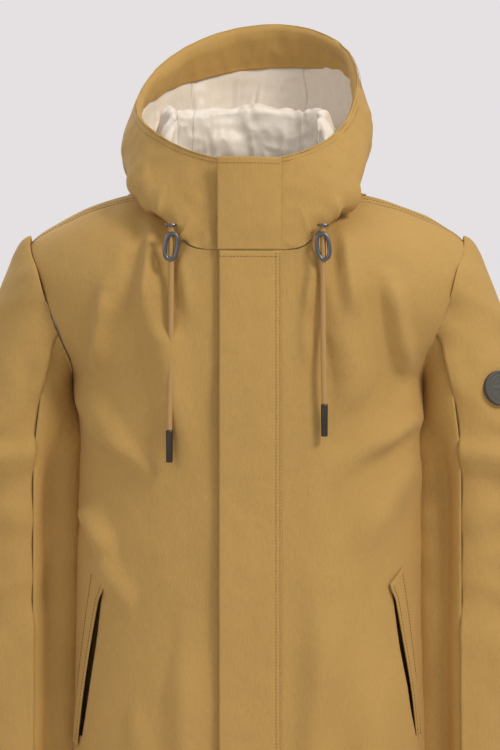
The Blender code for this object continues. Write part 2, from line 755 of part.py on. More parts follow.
def make_front_closure():
    low = -BODY_LENGTH
    cloth("storm_flap", flap_surface(low, FRONT_NECK_Z - SEAM_GAP, FLAP_FREE_X), 6, 16, SHELL, FLAP_CLOTH)
    cloth("throat_flap", flap_surface(FRONT_NECK_Z + SEAM_GAP, RIM_FRONT_Z + 0.003, FLAP_FREE_X - 0.002), 6, 5,
          SHELL, FLAP_CLOTH)
    low_zip = low + ZIP_BOTTOM
    for side, name in ((1, "left"), (-1, "right")):
        tape = sorted((side * 0.0030, side * 0.0125))
        chain = sorted((side * 0.0003, side * CHAIN_HALF))
        block("zip_tape_" + name, (tape[0], 0.0020, low_zip), (tape[1], 0.0026, ZIP_TOP_Z), TAPE)
        block("zip_chain_" + name, (chain[0], -0.0002, low_zip + 0.012), (chain[1], 0.0014, ZIP_TOP_Z - 0.002),
              GUNMETAL)
    block("zip_box", (-0.0050, -0.0006, low_zip - 0.001), (0.0050, 0.0015, low_zip + 0.011), GUNMETAL,
          bevel=0.0003)
    slider = block("zip_slider", (-0.0048, -0.0018, -0.012), (0.0048, 0.0010, -0.002), GUNMETAL, bevel=0.0004)
    channel = CHAIN_HALF + 0.0004
    groove = block("slider_channel", (-channel, -0.0006, -0.020), (channel, 0.0030, 0.005), GUNMETAL,
                   collection=CUTTERS)
    cut(slider, groove)
    block("zip_pull", (-0.0032, -0.0028, -0.040), (0.0032, -0.0021, -0.005), GUNMETAL, bevel=0.0003)
    for i in range(SNAP_COUNT):
        z = SNAP_FIRST_Z - i * SNAP_PITCH
        tag = "_" + str(i + 1)
        lift = mix(FLAP_LIFT, FLAP_ROOT_LIFT, (SNAP_X - FLAP_FREE_X) / (FLAP_HINGE_X - FLAP_FREE_X))
        facing = Matrix.Rotation(math.pi / 2, 4, 'X')
        stud = FRONT_FRAME @ Matrix.Translation((SNAP_X, -0.0011, z)) @ facing
        socket = FRONT_FRAME @ Matrix.Translation((SNAP_X, -lift + FLAP_CLOTH + 0.0012, z)) @ facing
        barrel("snap_stud" + tag, (SNAP_RADIUS, SNAP_RADIUS * 0.7), 0.0010, stud, GUNMETAL)
        barrel("snap_socket" + tag, (SNAP_RADIUS, SNAP_RADIUS), 0.0010, socket, GUNMETAL)


# ---------------------------------------------------------------- pockets

def pocket_turn(z):
    return mix(POCKET_TOP_TURN, POCKET_END_TURN, (POCKET_TOP_Z - z) / POCKET_LENGTH)


def pocket_flap_surface(u, v):
    """From the free edge to the outer seam, up the slant of the pocket mouth."""
    z = mix(POCKET_TOP_Z - POCKET_LENGTH, POCKET_TOP_Z, v)
    width = math.degrees(POCKET_FLAP_WIDTH / (CHEST_HALF - 0.019))
    turn = pocket_turn(z) - width * (1 - u)
    slope = 0.016 * (1 - u) * smooth_step(0.80, 1.0, v)
    return torso(turn, z - slope, -mix(POCKET_FLAP_LIFT, POCKET_HINGE_LIFT, u))


def pocket_slot(u, v):
    z = mix(POCKET_TOP_Z - POCKET_LENGTH + 0.012, POCKET_TOP_Z - 0.024, v)
    return torso(pocket_turn(z) + mix(-6.0, -2.5, u), z, -0.002)


def pocket_room(low_turn, high_turn, low_z, high_z, inset):
    return lambda u, v: torso(mix(low_turn, high_turn, u), mix(low_z, high_z, v), inset)


def make_pockets():
    low_z = POCKET_TOP_Z - POCKET_LENGTH - 0.055
    high_z = POCKET_TOP_Z - 0.010
    outer = pocket_room(38, 83, low_z, high_z, CLOTH + 0.0018)
    room = pocket_room(38.5, 82.5, low_z + 0.0015, high_z - 0.0015, 0.0)
    for side, turned in (("left", lambda s: s), ("right", mirrored)):
        cloth("pocket_flap_" + side, turned(pocket_flap_surface), 3, 10, SHELL, 0.0014)
        slot = cloth("pocket_slot_" + side, turned(pocket_slot), 1, 8, SHELL, 0.006, CUTTERS)
        cut(bpy.data.objects["front_panel_" + side], slot)
        bag = cloth("pocket_bag_" + side, turned(outer), 8, 8, BAG, POCKET_DEPTH)
        inside = cloth("pocket_room_" + side, turned(room), 8, 8, BAG, POCKET_DEPTH + CLOTH - 0.0002, CUTTERS)
        cut(bag, inside)


# ---------------------------------------------------------------- drawcord and neck

def cord_point(side, z, aside=0.0):
    """Where the drawcord hangs, just in front of the chest and parallel to the front line."""
    across = (1 - (CORD_X / half_width(CORD_TOP_Z)) ** ROUNDNESS) ** (1 / ROUNDNESS)
    return Vector((side * (CORD_X + aside), AXIS_Y - (FRONT_DEPTH - FRONT_LEAN * z) * across - CORD_STAND, z))


def cord_drop(z):
    """How far the cord has swung outward by a height, in metres."""
    return 0.0020 * smooth_step(0.150, 0.300, -z)


def make_drawcord():
    for side, name in ((1, "left"), (-1, "right")):
        end_z = CORD_TOP_Z - CORD_LENGTHS[name]
        heights = [mix(CORD_TOP_Z, end_z, i / 6) for i in range(7)]
        route = [cord_point(side, z, cord_drop(z)) for z in heights]
        tube("drawcord_" + name, smooth_route(route, 28), CORD_RADIUS, BRAID)
        tip = Matrix.Translation(cord_point(side, end_z - 0.0004 - TIP_LENGTH / 2, cord_drop(end_z)))
        tip = tip @ Matrix.Rotation(-FRONT_ANGLE, 4, 'X')
        barrel("cord_tip_" + name, (0.0031, 0.0035), TIP_LENGTH, tip, GUNMETAL)
        eyelet = new_ring("eyelet_" + name, cord_point(side, CORD_TOP_Z - 0.0020), 0.0050, 0.0014)
        lock_middle = cord_point(side, LOCK_TOP_Z - LOCK_HEIGHT / 2)
        frame = Matrix.Translation(lock_middle) @ Matrix.Rotation(-FRONT_ANGLE, 4, 'X')
        lock = make_lock("cord_lock_" + name, frame)
        bore = barrel("lock_bore_" + name, (CORD_RADIUS + LOCK_CLEARANCE,) * 2, LOCK_HEIGHT * 2, frame, GUNMETAL,
                      collection=CUTTERS)
        window = block("lock_window_" + name, (-0.0038, -0.02, -0.0110), (0.0038, 0.0, 0.0110), GUNMETAL, frame,
                       0.0, CUTTERS)
        cut(lock, bore)
        cut(lock, window)


def new_ring(name, place, radius, wire):
    """A round eyelet lying flat round the cord."""
    bpy.ops.mesh.primitive_torus_add(location=place, major_radius=radius, minor_radius=wire, major_segments=20,
                                     minor_segments=8)
    item = bpy.context.object
    item.name = name
    for holder in list(item.users_collection):
        holder.objects.unlink(item)
    PARTS.objects.link(item)
    return finish(item, GUNMETAL)


def make_lock(name, frame):
    """An oval toggle, flattened front to back."""
    shape = bmesh.new()
    bmesh.ops.create_uvsphere(shape, u_segments=20, v_segments=12, radius=1.0)
    for corner in shape.verts:
        x, y, z = corner.co
        corner.co = (signed_power(x, 0.85) * LOCK_WIDTH / 2, signed_power(y, 0.7) * LOCK_DEPTH / 2,
                     signed_power(z, 0.85) * LOCK_HEIGHT / 2)
    bmesh.ops.transform(shape, matrix=frame, verts=shape.verts)
    mesh = bpy.data.meshes.new(name)
    shape.to_mesh(mesh)
    shape.free()
    return new_object(name, mesh, GUNMETAL)


def make_neck():
    """The tape inside the back neck and the loop the coat hangs by."""
    def tape(u, v):
        point = neck_point(mix(140, 220, u))
        return point + Vector((0, -0.0085, -0.018 + 0.012 * v))
    cloth("neck_tape", tape, 10, 2, TAPE, 0.0008)
    loop = [Vector((-0.030, 0.0030, -0.0060)), Vector((-0.022, -0.0005, -0.0020)), Vector((0.0, -0.0030, 0.0)),
            Vector((0.022, -0.0005, -0.0020)), Vector((0.030, 0.0030, -0.0060))]
    tube("hanger_loop", smooth_route(loop, 16), 0.0020, TAPE)


make_body()
make_sleeves()
make_hood()
make_front_closure()
make_pockets()
make_drawcord()
make_neck()
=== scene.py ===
"""The looks of a hooded cotton parka worn on an invisible form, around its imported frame.

Metres, +Z up, the front faces -Y and +X is the wearer's left. The origin is the hanger loop.
"""
import math

import bmesh
import bpy
from mathutils import Matrix, Vector, noise


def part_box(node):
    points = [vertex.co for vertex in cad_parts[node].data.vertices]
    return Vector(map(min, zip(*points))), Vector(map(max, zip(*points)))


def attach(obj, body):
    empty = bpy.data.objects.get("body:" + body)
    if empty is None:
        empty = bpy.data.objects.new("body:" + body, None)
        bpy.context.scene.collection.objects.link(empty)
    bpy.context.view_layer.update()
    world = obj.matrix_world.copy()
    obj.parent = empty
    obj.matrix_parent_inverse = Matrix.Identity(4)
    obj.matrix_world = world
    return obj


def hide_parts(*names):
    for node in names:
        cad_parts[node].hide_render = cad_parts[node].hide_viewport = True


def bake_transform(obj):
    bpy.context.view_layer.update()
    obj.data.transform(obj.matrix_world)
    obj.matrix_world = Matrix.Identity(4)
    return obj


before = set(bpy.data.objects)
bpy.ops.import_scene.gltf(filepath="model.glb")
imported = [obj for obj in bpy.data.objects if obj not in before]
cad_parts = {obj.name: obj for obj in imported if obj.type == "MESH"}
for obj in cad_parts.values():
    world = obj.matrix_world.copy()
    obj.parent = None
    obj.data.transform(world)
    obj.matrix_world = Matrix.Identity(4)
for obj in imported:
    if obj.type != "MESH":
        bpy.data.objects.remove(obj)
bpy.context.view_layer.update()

# Sizes that the frame gives
BODY_LENGTH = -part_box("back_panel")[0][2]
RIM_FRONT_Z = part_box("throat_flap")[1][2] - 0.003
FLAP_LOW, FLAP_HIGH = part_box("storm_flap")

# The body's form
CHEST_HALF = 0.184
HEM_HALF = 0.197
SHOULDER_HALF = 0.235
SLEEVE_LENGTH = 0.640
AXIS_Y = -0.055
FRONT_DEPTH = 0.132
FRONT_LEAN = 0.0209
BACK_DEPTH = 0.140
ROUNDNESS = 2.4
SHOULDER_TIP_Z = -0.0635
UNDERARM_Z = -0.215
NAPE_RIDGE = 0.020
NECK_RIDGE = -0.005
SHOULDER_FALL = 0.120
FALL_POWER = 1.8
NECK_HALF = 0.085
FRONT_NECK_Z = -0.078
SHOULDER_SEAM_DROP = 0.012
YOKE_SEAM_Z = -0.095

# The hood
RIM_HALF = 0.120
RIM_BACK_Z = 0.187
RIM_BACK_DEPTH = 0.125
RIM_LEAN = 0.15
HOOD_LIFT = 0.0004
CENTRE_PANEL_TURN = 152.0
ROLL_HEIGHT = 0.092
SIDE_ROLL_HEIGHT = 0.084
FACING_FROM = 0.815  # where the self-cloth band inside the rim starts, as a share of the hood's height

# Cloth
CLOTH = 0.0012
LINING = 0.0008
SEAM_GAP = 0.0001
LINING_INSET = 0.0062
FLAP_CLOTH = 0.0014

# Front closure
FLAP_FREE_X = FLAP_LOW[0]
FLAP_HINGE_X = 0.036
FRONT_EDGE_X = 0.0062

# Sleeves
SLEEVE_X = 0.2455
SLEEVE_HALF_WIDTH = 0.055
SLEEVE_HALF_DEPTH = 0.069
CUFF_HALF_WIDTH = 0.050
CUFF_HALF_DEPTH = 0.054
SLEEVE_SETTLE = 0.27
SLEEVE_SEAM = 20.0
BADGE_RADIUS = 0.0185
BADGE_TURN = 30.0
BADGE_Z = -0.222
BADGE_STAND = 0.0036
BADGE_BEND = 0.070

# Pockets
POCKET_TOP_Z = -0.412
POCKET_LENGTH = 0.190
POCKET_TOP_TURN = 59.0
POCKET_END_TURN = 78.0
POCKET_FLAP_WIDTH = 0.027
POCKET_BODY_RADIUS = 0.165  # of the body where the pocket flaps lie on it
POCKET_FLAP_TURNS = math.degrees(POCKET_FLAP_WIDTH / POCKET_BODY_RADIUS)
POCKET_FLAP_LIFT = 0.0030
POCKET_DEPTH = 0.011
POCKET_MOUTH_DEPTH = 0.016

# Drawcord
CORD_RADIUS = 0.0029
CORD_X = 0.079
CORD_STAND = 0.0048
CORD_TOP_Z = -0.050
CORD_LENGTHS = {"left": 0.189, "right": 0.216}
TIP_LENGTH = 0.033


# ---------------------------------------------------------------- curves and surfaces

def mix(a, b, share):
    return a + (b - a) * share


def smooth_step(low, high, at):
    t = min(max((at - low) / (high - low), 0.0), 1.0)
    return t * t * (3 - 2 * t)


def signed_power(value, power):
    return math.copysign(abs(value) ** power, value)


def through(keys, at):
    """A smooth curve through (place, value) keys, sorted by place, flat past both ends."""
    if at <= keys[0][0]:
        return keys[0][1]
    if at >= keys[-1][0]:
        return keys[-1][1]
    slopes = [(b[1] - a[1]) / (b[0] - a[0]) for a, b in zip(keys, keys[1:])]
    index = max(i for i in range(len(slopes)) if keys[i][0] <= at)
    bends = [0.0] + [2 * a * b / (a + b) if a * b > 0 else 0.0 for a, b in zip(slopes, slopes[1:])] + [0.0]
    (x0, y0), (x1, y1) = keys[index], keys[index + 1]
    width = x1 - x0
    t = (at - x0) / width
    start = (1 + 2 * t) * (1 - t) ** 2 * y0 + t * (1 - t) ** 2 * width * bends[index]
    return start + t * t * (3 - 2 * t) * y1 + t * t * (t - 1) * width * bends[index + 1]


def half_width(z):
    tip = SHOULDER_HALF + 0.027
    keys = [(-BODY_LENGTH, HEM_HALF), (-0.60, CHEST_HALF + 0.006), (-0.40, CHEST_HALF + 0.002),
            (-0.25, CHEST_HALF), (UNDERARM_Z, CHEST_HALF + 0.003), (UNDERARM_Z + 0.020, CHEST_HALF + 0.013),
            (-0.170, mix(CHEST_HALF, tip, 0.40)), (-0.140, mix(CHEST_HALF, tip, 0.65)),
            (-0.100, tip - 0.007), (-0.050, tip)]
    return through(keys, z)


def armhole_x(z):
    tip = SHOULDER_HALF - CHEST_HALF
    keys = [(UNDERARM_Z, CHEST_HALF + 0.003), (-0.195, CHEST_HALF + 0.12 * tip),
            (-0.170, CHEST_HALF + 0.30 * tip), (-0.140, CHEST_HALF + 0.53 * tip),
            (-0.100, CHEST_HALF + 0.77 * tip), (SHOULDER_TIP_Z, SHOULDER_HALF)]
    return min(through(keys, z), half_width(z))


def ridge(x, in_front=False):
    """Height of the top of the shoulder at x. The front is carried up inside the neck."""
    keys = [(0.0, NAPE_RIDGE), (NECK_HALF, NECK_RIDGE), (0.133, -0.0135), (0.177, -0.028),
            (0.95 * SHOULDER_HALF, -0.053), (SHOULDER_HALF, SHOULDER_TIP_Z),
            (SHOULDER_HALF + 0.027, SHOULDER_TIP_Z - 0.036)]
    height = through(keys, abs(x))
    if in_front and abs(x) < NECK_HALF:
        height += 0.12 * (1 - (x / NECK_HALF) ** 2) ** 2
    return height


def fullness(drop):
    """Share of the full depth that the body has at a drop below the shoulder ridge."""
    share = min(max(drop / SHOULDER_FALL, 0.0), 1.0)
    return (1 - (1 - share) ** FALL_POWER) ** (1 / FALL_POWER)


def drop_at(share):
    """The drop below the ridge where the body has a share of its full depth."""
    return SHOULDER_FALL * (1 - (1 - min(abs(share), 1.0) ** FALL_POWER) ** (1 / FALL_POWER))


def front_depth(z):
    return FRONT_DEPTH - FRONT_LEAN * z


def torso(turn, z, inset=0.0):
    """A point of the body: turn in degrees from the front, 90 at the wearer's left side."""
    side = math.sin(math.radians(turn))
    ahead = math.cos(math.radians(turn))
    x = (half_width(z) - inset) * signed_power(side, 2 / ROUNDNESS)
    depth = (front_depth(z) if ahead > 0 else BACK_DEPTH) - inset
    full = fullness(ridge(x, ahead > 0) - inset - z)
    return Vector((x, AXIS_Y - depth * full * signed_power(ahead, 2 / ROUNDNESS), z))


def turn_at(x, z):
    """The turn from the front at which the body is x from the centre line."""
    share = min(abs(x) / half_width(z), 1.0)
    return math.copysign(math.degrees(math.asin(share ** (ROUNDNESS / 2))), x)


def shoulder(x, share, inset=0.0):
    """A point over the shoulder: share is -1 at full depth in front, 0 on the ridge, 1 behind."""
    z = ridge(x) - inset - drop_at(share)
    depth = (front_depth(z) if share < 0 else BACK_DEPTH) - inset
    across = max(1 - (abs(x) / (half_width(z) - inset)) ** ROUNDNESS, 0.0) ** (1 / ROUNDNESS)
    return Vector((x, AXIS_Y + share * depth * across, z))


def shoulder_height(x, y):
    """Height of the body's top surface over a place, or None outside it."""
    wide = half_width(0.0)
    if abs(x) >= wide:
        return None
    depth = front_depth(0.0) if y < AXIS_Y else BACK_DEPTH
    share = abs(y - AXIS_Y) / (depth * (1 - (abs(x) / wide) ** ROUNDNESS) ** (1 / ROUNDNESS))
    return ridge(x) - drop_at(share) if share < 1 else None


def around_from_front(turn):
    """How far round from the front a turn is, 0 to 180, on either side."""
    return abs((turn + 180) % 360 - 180)


def neck_point(turn):
    """The neck seam: turn 0 in front, 90 on the forward shoulder seam, 180 behind."""
    side = math.copysign(1.0, math.sin(math.radians(turn))) if turn % 180 else 1.0
    around = around_from_front(turn)
    seam = fullness(SHOULDER_SEAM_DROP)
    if around < 90:
        share = around / 90
        z = mix(FRONT_NECK_Z, ridge(NECK_HALF) - SHOULDER_SEAM_DROP, share ** 2)
        x = NECK_HALF * share ** (2 / 7)
        return torso(side * turn_at(x, z), z)
    swing = math.radians(around - 90)
    start = math.asin(seam / 0.5)
    angle = mix(-start, math.pi / 2, swing / (math.pi / 2))
    return shoulder(side * NECK_HALF * math.cos(angle) / math.cos(min(start, abs(angle)) if angle < 0 else 0),
                    0.5 * math.sin(angle))


def outward(turn):
    angle = math.radians(turn)
    return Vector((math.sin(angle), -math.cos(angle), 0.0))


def rim_point(turn):
    """The hood's rim, an oval that is low in front and high behind and leans a little."""
    angle = math.radians(turn)
    z = mix(RIM_FRONT_Z, RIM_BACK_Z, (1 - math.cos(angle)) / 2)
    x = RIM_HALF * math.sin(angle)
    front = front_depth(RIM_FRONT_Z)
    y = AXIS_Y + mix(-front, RIM_BACK_DEPTH, (1 - math.cos(angle)) / 2)
    return Vector((x, y, z + RIM_LEAN * x * smooth_step(0.03, 0.13, z)))


def hood(turn, height):
    """A point of the hood's outside: height 0 at the neck seam, 1 at the rim."""
    around = around_from_front(turn)
    back = smooth_step(90, 180, around)
    front = 1 - smooth_step(15, 75, around)
    low = neck_point(turn) + Vector((0, 0, HOOD_LIFT))
    top = rim_point(turn)
    rise = top - low
    swell = mix(mix(0.056, 0.088, back), 0.000, front)
    lean = mix(mix(0.022, 0.042, back), 0.000, front)
    first = low + outward(turn) * swell + Vector((0, 0, mix(mix(0.006, -0.012, back), rise.z / 3, front)))
    second = top + outward(turn) * lean - Vector((0, 0, mix(mix(0.050, 0.080, back), rise.z / 3, front)))
    first += Vector((rise.x, rise.y, 0.0)) * front / 3
    second -= Vector((rise.x, rise.y, 0.0)) * front / 3
    t = height
    point = low * (1 - t) ** 3 + first * 3 * t * (1 - t) ** 2 + second * 3 * t * t * (1 - t) + top * t ** 3
    floor = shoulder_height(point.x, point.y)
    if floor is not None:
        point.z = max(point.z, floor + 0.0035 * smooth_step(0.0, 0.1, t) + 0.0012)
    return point


def mirrored(surface):
    """The same panel on the other side of the centre line."""
    def place(u, v):
        point = surface(1 - u, v)
        return Vector((-point.x, point.y, point.z))
    return place


def panel_between(bottom, top, left, right):
    """A panel's plan between four edges, each a function of 0..1 that gives a pair."""
    corner = [(bottom(0), bottom(1)), (top(0), top(1))]

    def plan(u, v):
        low, high, near, far = bottom(u), top(u), left(v), right(v)
        pair = []
        for i in (0, 1):
            edges = (1 - v) * low[i] + v * high[i] + (1 - u) * near[i] + u * far[i]
            corners = ((1 - u) * (1 - v) * corner[0][0][i] + u * (1 - v) * corner[0][1][i]
                       + (1 - u) * v * corner[1][0][i] + u * v * corner[1][1][i])
            pair.append(edges - corners)
        return pair
    return plan


# ---------------------------------------------------------------- body panels

SIDE_SHARE = 0.50


def side_edge(v, behind, inset):
    """Up the side seam and on round the armhole: the turn and the height."""
    gap_turn = math.degrees(SEAM_GAP / 0.14)
    top = YOKE_SEAM_Z - SEAM_GAP - inset if behind else ridge(SHOULDER_HALF - 0.004) - 0.006 - inset
    if v < SIDE_SHARE:
        turn, z = 90 - gap_turn, mix(-BODY_LENGTH, UNDERARM_Z, v / SIDE_SHARE)
    else:
        share = (v - SIDE_SHARE) / (1 - SIDE_SHARE)
        z = mix(UNDERARM_Z, top, share ** 1.4)
        turn = min(turn_at(armhole_x(z) - 0.0002, z), 90 - gap_turn)
    turn = turn - math.degrees(inset / 0.14) * 0.5
    return (180 - turn, z) if behind else (turn, z)


def front_top(u, inset, start_x):
    """Along the front neck and the forward shoulder seam."""
    corner_z = ridge(NECK_HALF) - SHOULDER_SEAM_DROP
    if u < 0.4:
        share = u / 0.4
        x = mix(start_x, NECK_HALF, share ** (2 / 7))
        z = mix(FRONT_NECK_Z, corner_z, share ** 2)
        return turn_at(x, z - inset), z - inset
    share = (u - 0.4) / 0.6
    tip_turn, tip_z = side_edge(1, False, inset)
    x = mix(NECK_HALF, SHOULDER_HALF - 0.004, share)
    z = ridge(x) - mix(SHOULDER_SEAM_DROP, 0.006, share)
    if u == 1:
        return tip_turn, tip_z
    return mix(turn_at(x, z), tip_turn, share ** 6), mix(z - inset, tip_z, share ** 6)


def lining_inset(z):
    """The lining lies further inside where the pocket bags hang."""
    low = POCKET_TOP_Z - POCKET_LENGTH - 0.06
    room = smooth_step(low - 0.09, low, z) * (1 - smooth_step(POCKET_TOP_Z + 0.02, POCKET_TOP_Z + 0.12, z))
    return LINING_INSET + (POCKET_DEPTH + 0.0005) * room


def front_plan(inset, start_x):
    def start(v):
        z = through([(0, -BODY_LENGTH), (SIDE_SHARE, UNDERARM_Z - 0.04), (1, FRONT_NECK_Z - inset)], v)
        return turn_at(start_x, z), z

    def hem(u):
        first = turn_at(start_x, -BODY_LENGTH)
        return mix(first, side_edge(0, False, inset)[0], u), -BODY_LENGTH

    return panel_between(hem, lambda u: front_top(u, inset, start_x), start,
                         lambda v: side_edge(v, False, inset))


def front_surface():
    plan = front_plan(0.0, FRONT_EDGE_X)
    return lambda u, v: torso(*plan(u, v))


def front_lining_surface():
    plan = front_plan(LINING_INSET, 0.0190)

    def place(u, v):
        turn, z = plan(u, v)
        return torso(turn, z, lining_inset(z))
    return place


def back_plan(inset):
    top_z = YOKE_SEAM_Z - SEAM_GAP - inset

    def seam(u):
        turn = side_edge(1, True, inset)[0]
        return mix(turn, 360 - turn, u), top_z

    def hem(u):
        turn = side_edge(0, True, inset)[0]
        return mix(turn, 360 - turn, u), -BODY_LENGTH

    def far(v):
        turn, z = side_edge(v, True, inset)
        return 360 - turn, z

    return panel_between(hem, seam, lambda v: side_edge(v, True, inset), far)


def back_surface():
    plan = back_plan(0.0)
    return lambda u, v: torso(*plan(u, v))


def back_lining_surface():
    plan = back_plan(LINING_INSET)

    def place(u, v):
        turn, z = plan(u, v)
        return torso(turn, z, lining_inset(z))
    return place


def yoke_surface(inset):
    """Over both shoulders and round the back neck: x and the share of the depth."""
    seam = -fullness(SHOULDER_SEAM_DROP - 2 * SEAM_GAP)
    tip_seam = -fullness(0.006 - 6 * SEAM_GAP)
    tip = SHOULDER_HALF - 0.004

    def inner(u):
        side = -1 if u < 0.5 else 1
        s = abs(u - 0.5) * 2
        if s > 0.5:
            share = (s - 0.5) / 0.5
            return side * mix(NECK_HALF + 0.001, tip, share), mix(seam, tip_seam, share)
        angle = mix(math.pi / 2, math.asin(seam / 0.5), s / 0.5)
        widen = 1 / math.cos(math.asin(seam / 0.5)) if angle < 0 else 1.0
        return side * (NECK_HALF + 0.001) * math.cos(angle) * widen, 0.5 * math.sin(angle)

    def outer(u):
        x = (armhole_x(YOKE_SEAM_Z) - 0.0002) * (u - 0.5) * 2
        return x, fullness(ridge(x) - YOKE_SEAM_Z)

    def end(v, side):
        z = mix(SHOULDER_TIP_Z, YOKE_SEAM_Z, smooth_step(0.12, 1.0, v))
        rise = fullness(ridge(armhole_x(z)) - z)
        x = mix(tip, armhole_x(z) - 0.0002, smooth_step(0.0, 0.3, v))
        return side * x, mix(tip_seam, rise, v ** 0.5) if v < 1 else outer(1)[1]

    plan = panel_between(inner, outer, lambda v: end(v, -1), lambda v: end(v, 1))

    def surface(u, v):
        x, share = plan(u, v)
        return shoulder(x, share, inset)
    return surface


# ---------------------------------------------------------------- sleeves and hood panels

def armhole(turn):
    """The armhole seam: turn 0 in front, 90 at the shoulder tip, -90 under the arm."""
    angle = math.radians(turn)
    z = mix(UNDERARM_Z, SHOULDER_TIP_Z, (1 + math.sin(angle)) / 2)
    seam = turn_at(armhole_x(z), z)
    return torso(seam if math.cos(angle) > 0 else 180 - seam, z)


def sleeve(turn, height, inset=0.0):
    """A point of the left sleeve: height 0 at the cuff, 1 at the armhole."""
    angle = math.radians(turn)
    seam = armhole(turn)
    down = 1 - height
    z = mix(seam.z, SHOULDER_TIP_Z - SLEEVE_LENGTH, down)
    along = (SHOULDER_TIP_Z - z) / SLEEVE_LENGTH
    wide = mix(SLEEVE_HALF_WIDTH, CUFF_HALF_WIDTH, along) - inset
    deep = mix(SLEEVE_HALF_DEPTH, CUFF_HALF_DEPTH, along) - inset
    ring = Vector((SLEEVE_X + wide * math.sin(angle), AXIS_Y - 0.012 * along - deep * math.cos(angle), z))
    middle = Vector((seam.x, AXIS_Y, (UNDERARM_Z + SHOULDER_TIP_Z) / 2))
    seam = seam.lerp(middle, inset / 0.075)
    return seam.lerp(ring, smooth_step(0, SLEEVE_SETTLE, down))


def sleeve_panel(start, end, inset):
    top = 1.0 if inset == 0 else 0.985

    def place(u, v):
        return sleeve(mix(start, end, u), (1 - (1 - v) ** 1.7) * top, inset)
    return place


def hood_panel(start, end, low=0.0, high=1.0):
    return lambda u, v: hood(mix(start, end, u), mix(low, high, v))


def front_edge_turn():
    """The turn at which the hood's front edge stops beside the zip."""
    return math.degrees(math.asin(FRONT_EDGE_X / RIM_HALF)) + 2.0


def hood_front_edge(height):
    """The turn of the front edge at a height: the neck seam runs round faster near the front."""
    return front_edge_turn() * smooth_step(-0.25, 0.85, height) ** 2


def hood_side_surface(seam):
    """From the front edge beside the zip to the seam of the centre panel."""
    return lambda u, v: hood(mix(hood_front_edge(v), seam, u), v)


def hood_inside(turn, height, inset):
    """The hood's surface, a distance inside its outside."""
    step = 0.02
    across = hood(turn + 2, height) - hood(turn - 2, height)
    along = hood(turn, min(height + step, 1.0)) - hood(turn, max(height - step, 0.0))
    return hood(turn, height) - across.cross(along).normalized() * inset


def rolled(turn, height):
    """The lining behind the neck: up from the seam, over a roll and down into the valley behind it."""
    base = neck_point(turn)
    top = rim_point(turn)
    reach = Vector((top.x - base.x, top.y - base.y, 0.0))
    back = smooth_step(90, 180, around_from_front(turn))
    peak = mix(SIDE_ROLL_HEIGHT, ROLL_HEIGHT, back)
    outs = [(0.0, -0.15), (0.15, -0.36), (0.30, -0.32), (0.40, -0.05), (0.52, 0.24), (0.62, 0.42),
            (0.72, 0.68), (0.86, 0.90), (1.0, 0.98)]
    ups = [(0.0, 0.05 * peak), (0.15, 0.52 * peak), (0.30, 0.90 * peak), (0.40, peak), (0.52, 0.80 * peak),
           (0.62, 0.58 * peak), (0.72, 0.62 * peak), (0.86, 0.80 * peak), (1.0, peak)]
    point = base + reach * through(outs, height)
    point.z = base.z + through(ups, height)
    return point


def hood_lining(turn, height):
    """The satin inside the hood: rolled behind the neck, flat in front, up to the facing."""
    around = around_from_front(turn)
    flat_height = 0.03 + (FACING_FROM - 0.01) * height
    flat = hood_inside(turn, flat_height, mix(0.0065, 0.0078, height))
    wall = hood_inside(turn, mix(0.30, FACING_FROM + 0.03, smooth_step(0.60, 1.0, height)), 0.0085)
    roll = rolled(turn, height).lerp(wall, smooth_step(0.66, 0.90, height))
    return flat.lerp(roll, smooth_step(62, 96, around))


# ---------------------------------------------------------------- folds

def crease(point, start, end, width, height):
    """A soft fold between two places (x, z): high along its line and hollow beside it."""
    across, up = end[0] - start[0], end[1] - start[1]
    length = math.hypot(across, up)
    share = ((point.x - start[0]) * across + (point.z - start[1]) * up) / length ** 2
    held = min(max(share, 0.0), 1.0)
    off = ((point.x - start[0]) * up - (point.z - start[1]) * across) / length
    past = abs(share - held) * length
    ends = smooth_step(-0.15, 0.25, held) * (1 - smooth_step(0.6, 1.1, held))
    fade = math.exp(-(past / width) ** 2) * ends
    hollow = 0.7 * math.exp(-((off - 1.5 * width) / width) ** 2)
    return height * fade * (math.exp(-(off / width) ** 2) - hollow)


FRONT_CREASES = [
    ((-0.150, -0.120), (-0.165, -0.215), 0.012, 0.0030),
    ((0.150, -0.110), (0.168, -0.215), 0.012, 0.0030),
    ((-0.182, -0.225), (-0.090, -0.330), 0.016, 0.0030),
    ((-0.184, -0.260), (-0.120, -0.300), 0.010, 0.0022),
    ((-0.178, -0.345), (-0.140, -0.400), 0.012, 0.0035),
    ((-0.176, -0.380), (-0.110, -0.470), 0.018, 0.0030),
    ((-0.100, -0.130), (-0.060, -0.300), 0.020, 0.0025),
    ((-0.060, -0.480), (-0.050, -0.780), 0.030, 0.0035),
    ((-0.120, -0.520), (-0.100, -0.800), 0.026, 0.0040),
    ((0.184, -0.225), (0.100, -0.310), 0.016, 0.0032),
    ((0.182, -0.250), (0.130, -0.290), 0.010, 0.0022),
    ((0.176, -0.290), (0.110, -0.400), 0.020, 0.0028),
    ((0.060, -0.110), (0.062, -0.210), 0.012, 0.0022),
    ((0.085, -0.100), (0.120, -0.260), 0.018, 0.0020),
    ((0.080, -0.440), (0.070, -0.780), 0.030, 0.0035),
    ((0.130, -0.520), (0.120, -0.800), 0.026, 0.0040),
]
FRONT_CREASES += [((side * 0.072, -0.078), (side * 0.060, -0.150), 0.008, 0.0022) for side in (-1, 1)]
FRONT_CREASES += [((side * 0.098, -0.060), (side * 0.112, -0.150), 0.010, 0.0026) for side in (-1, 1)]
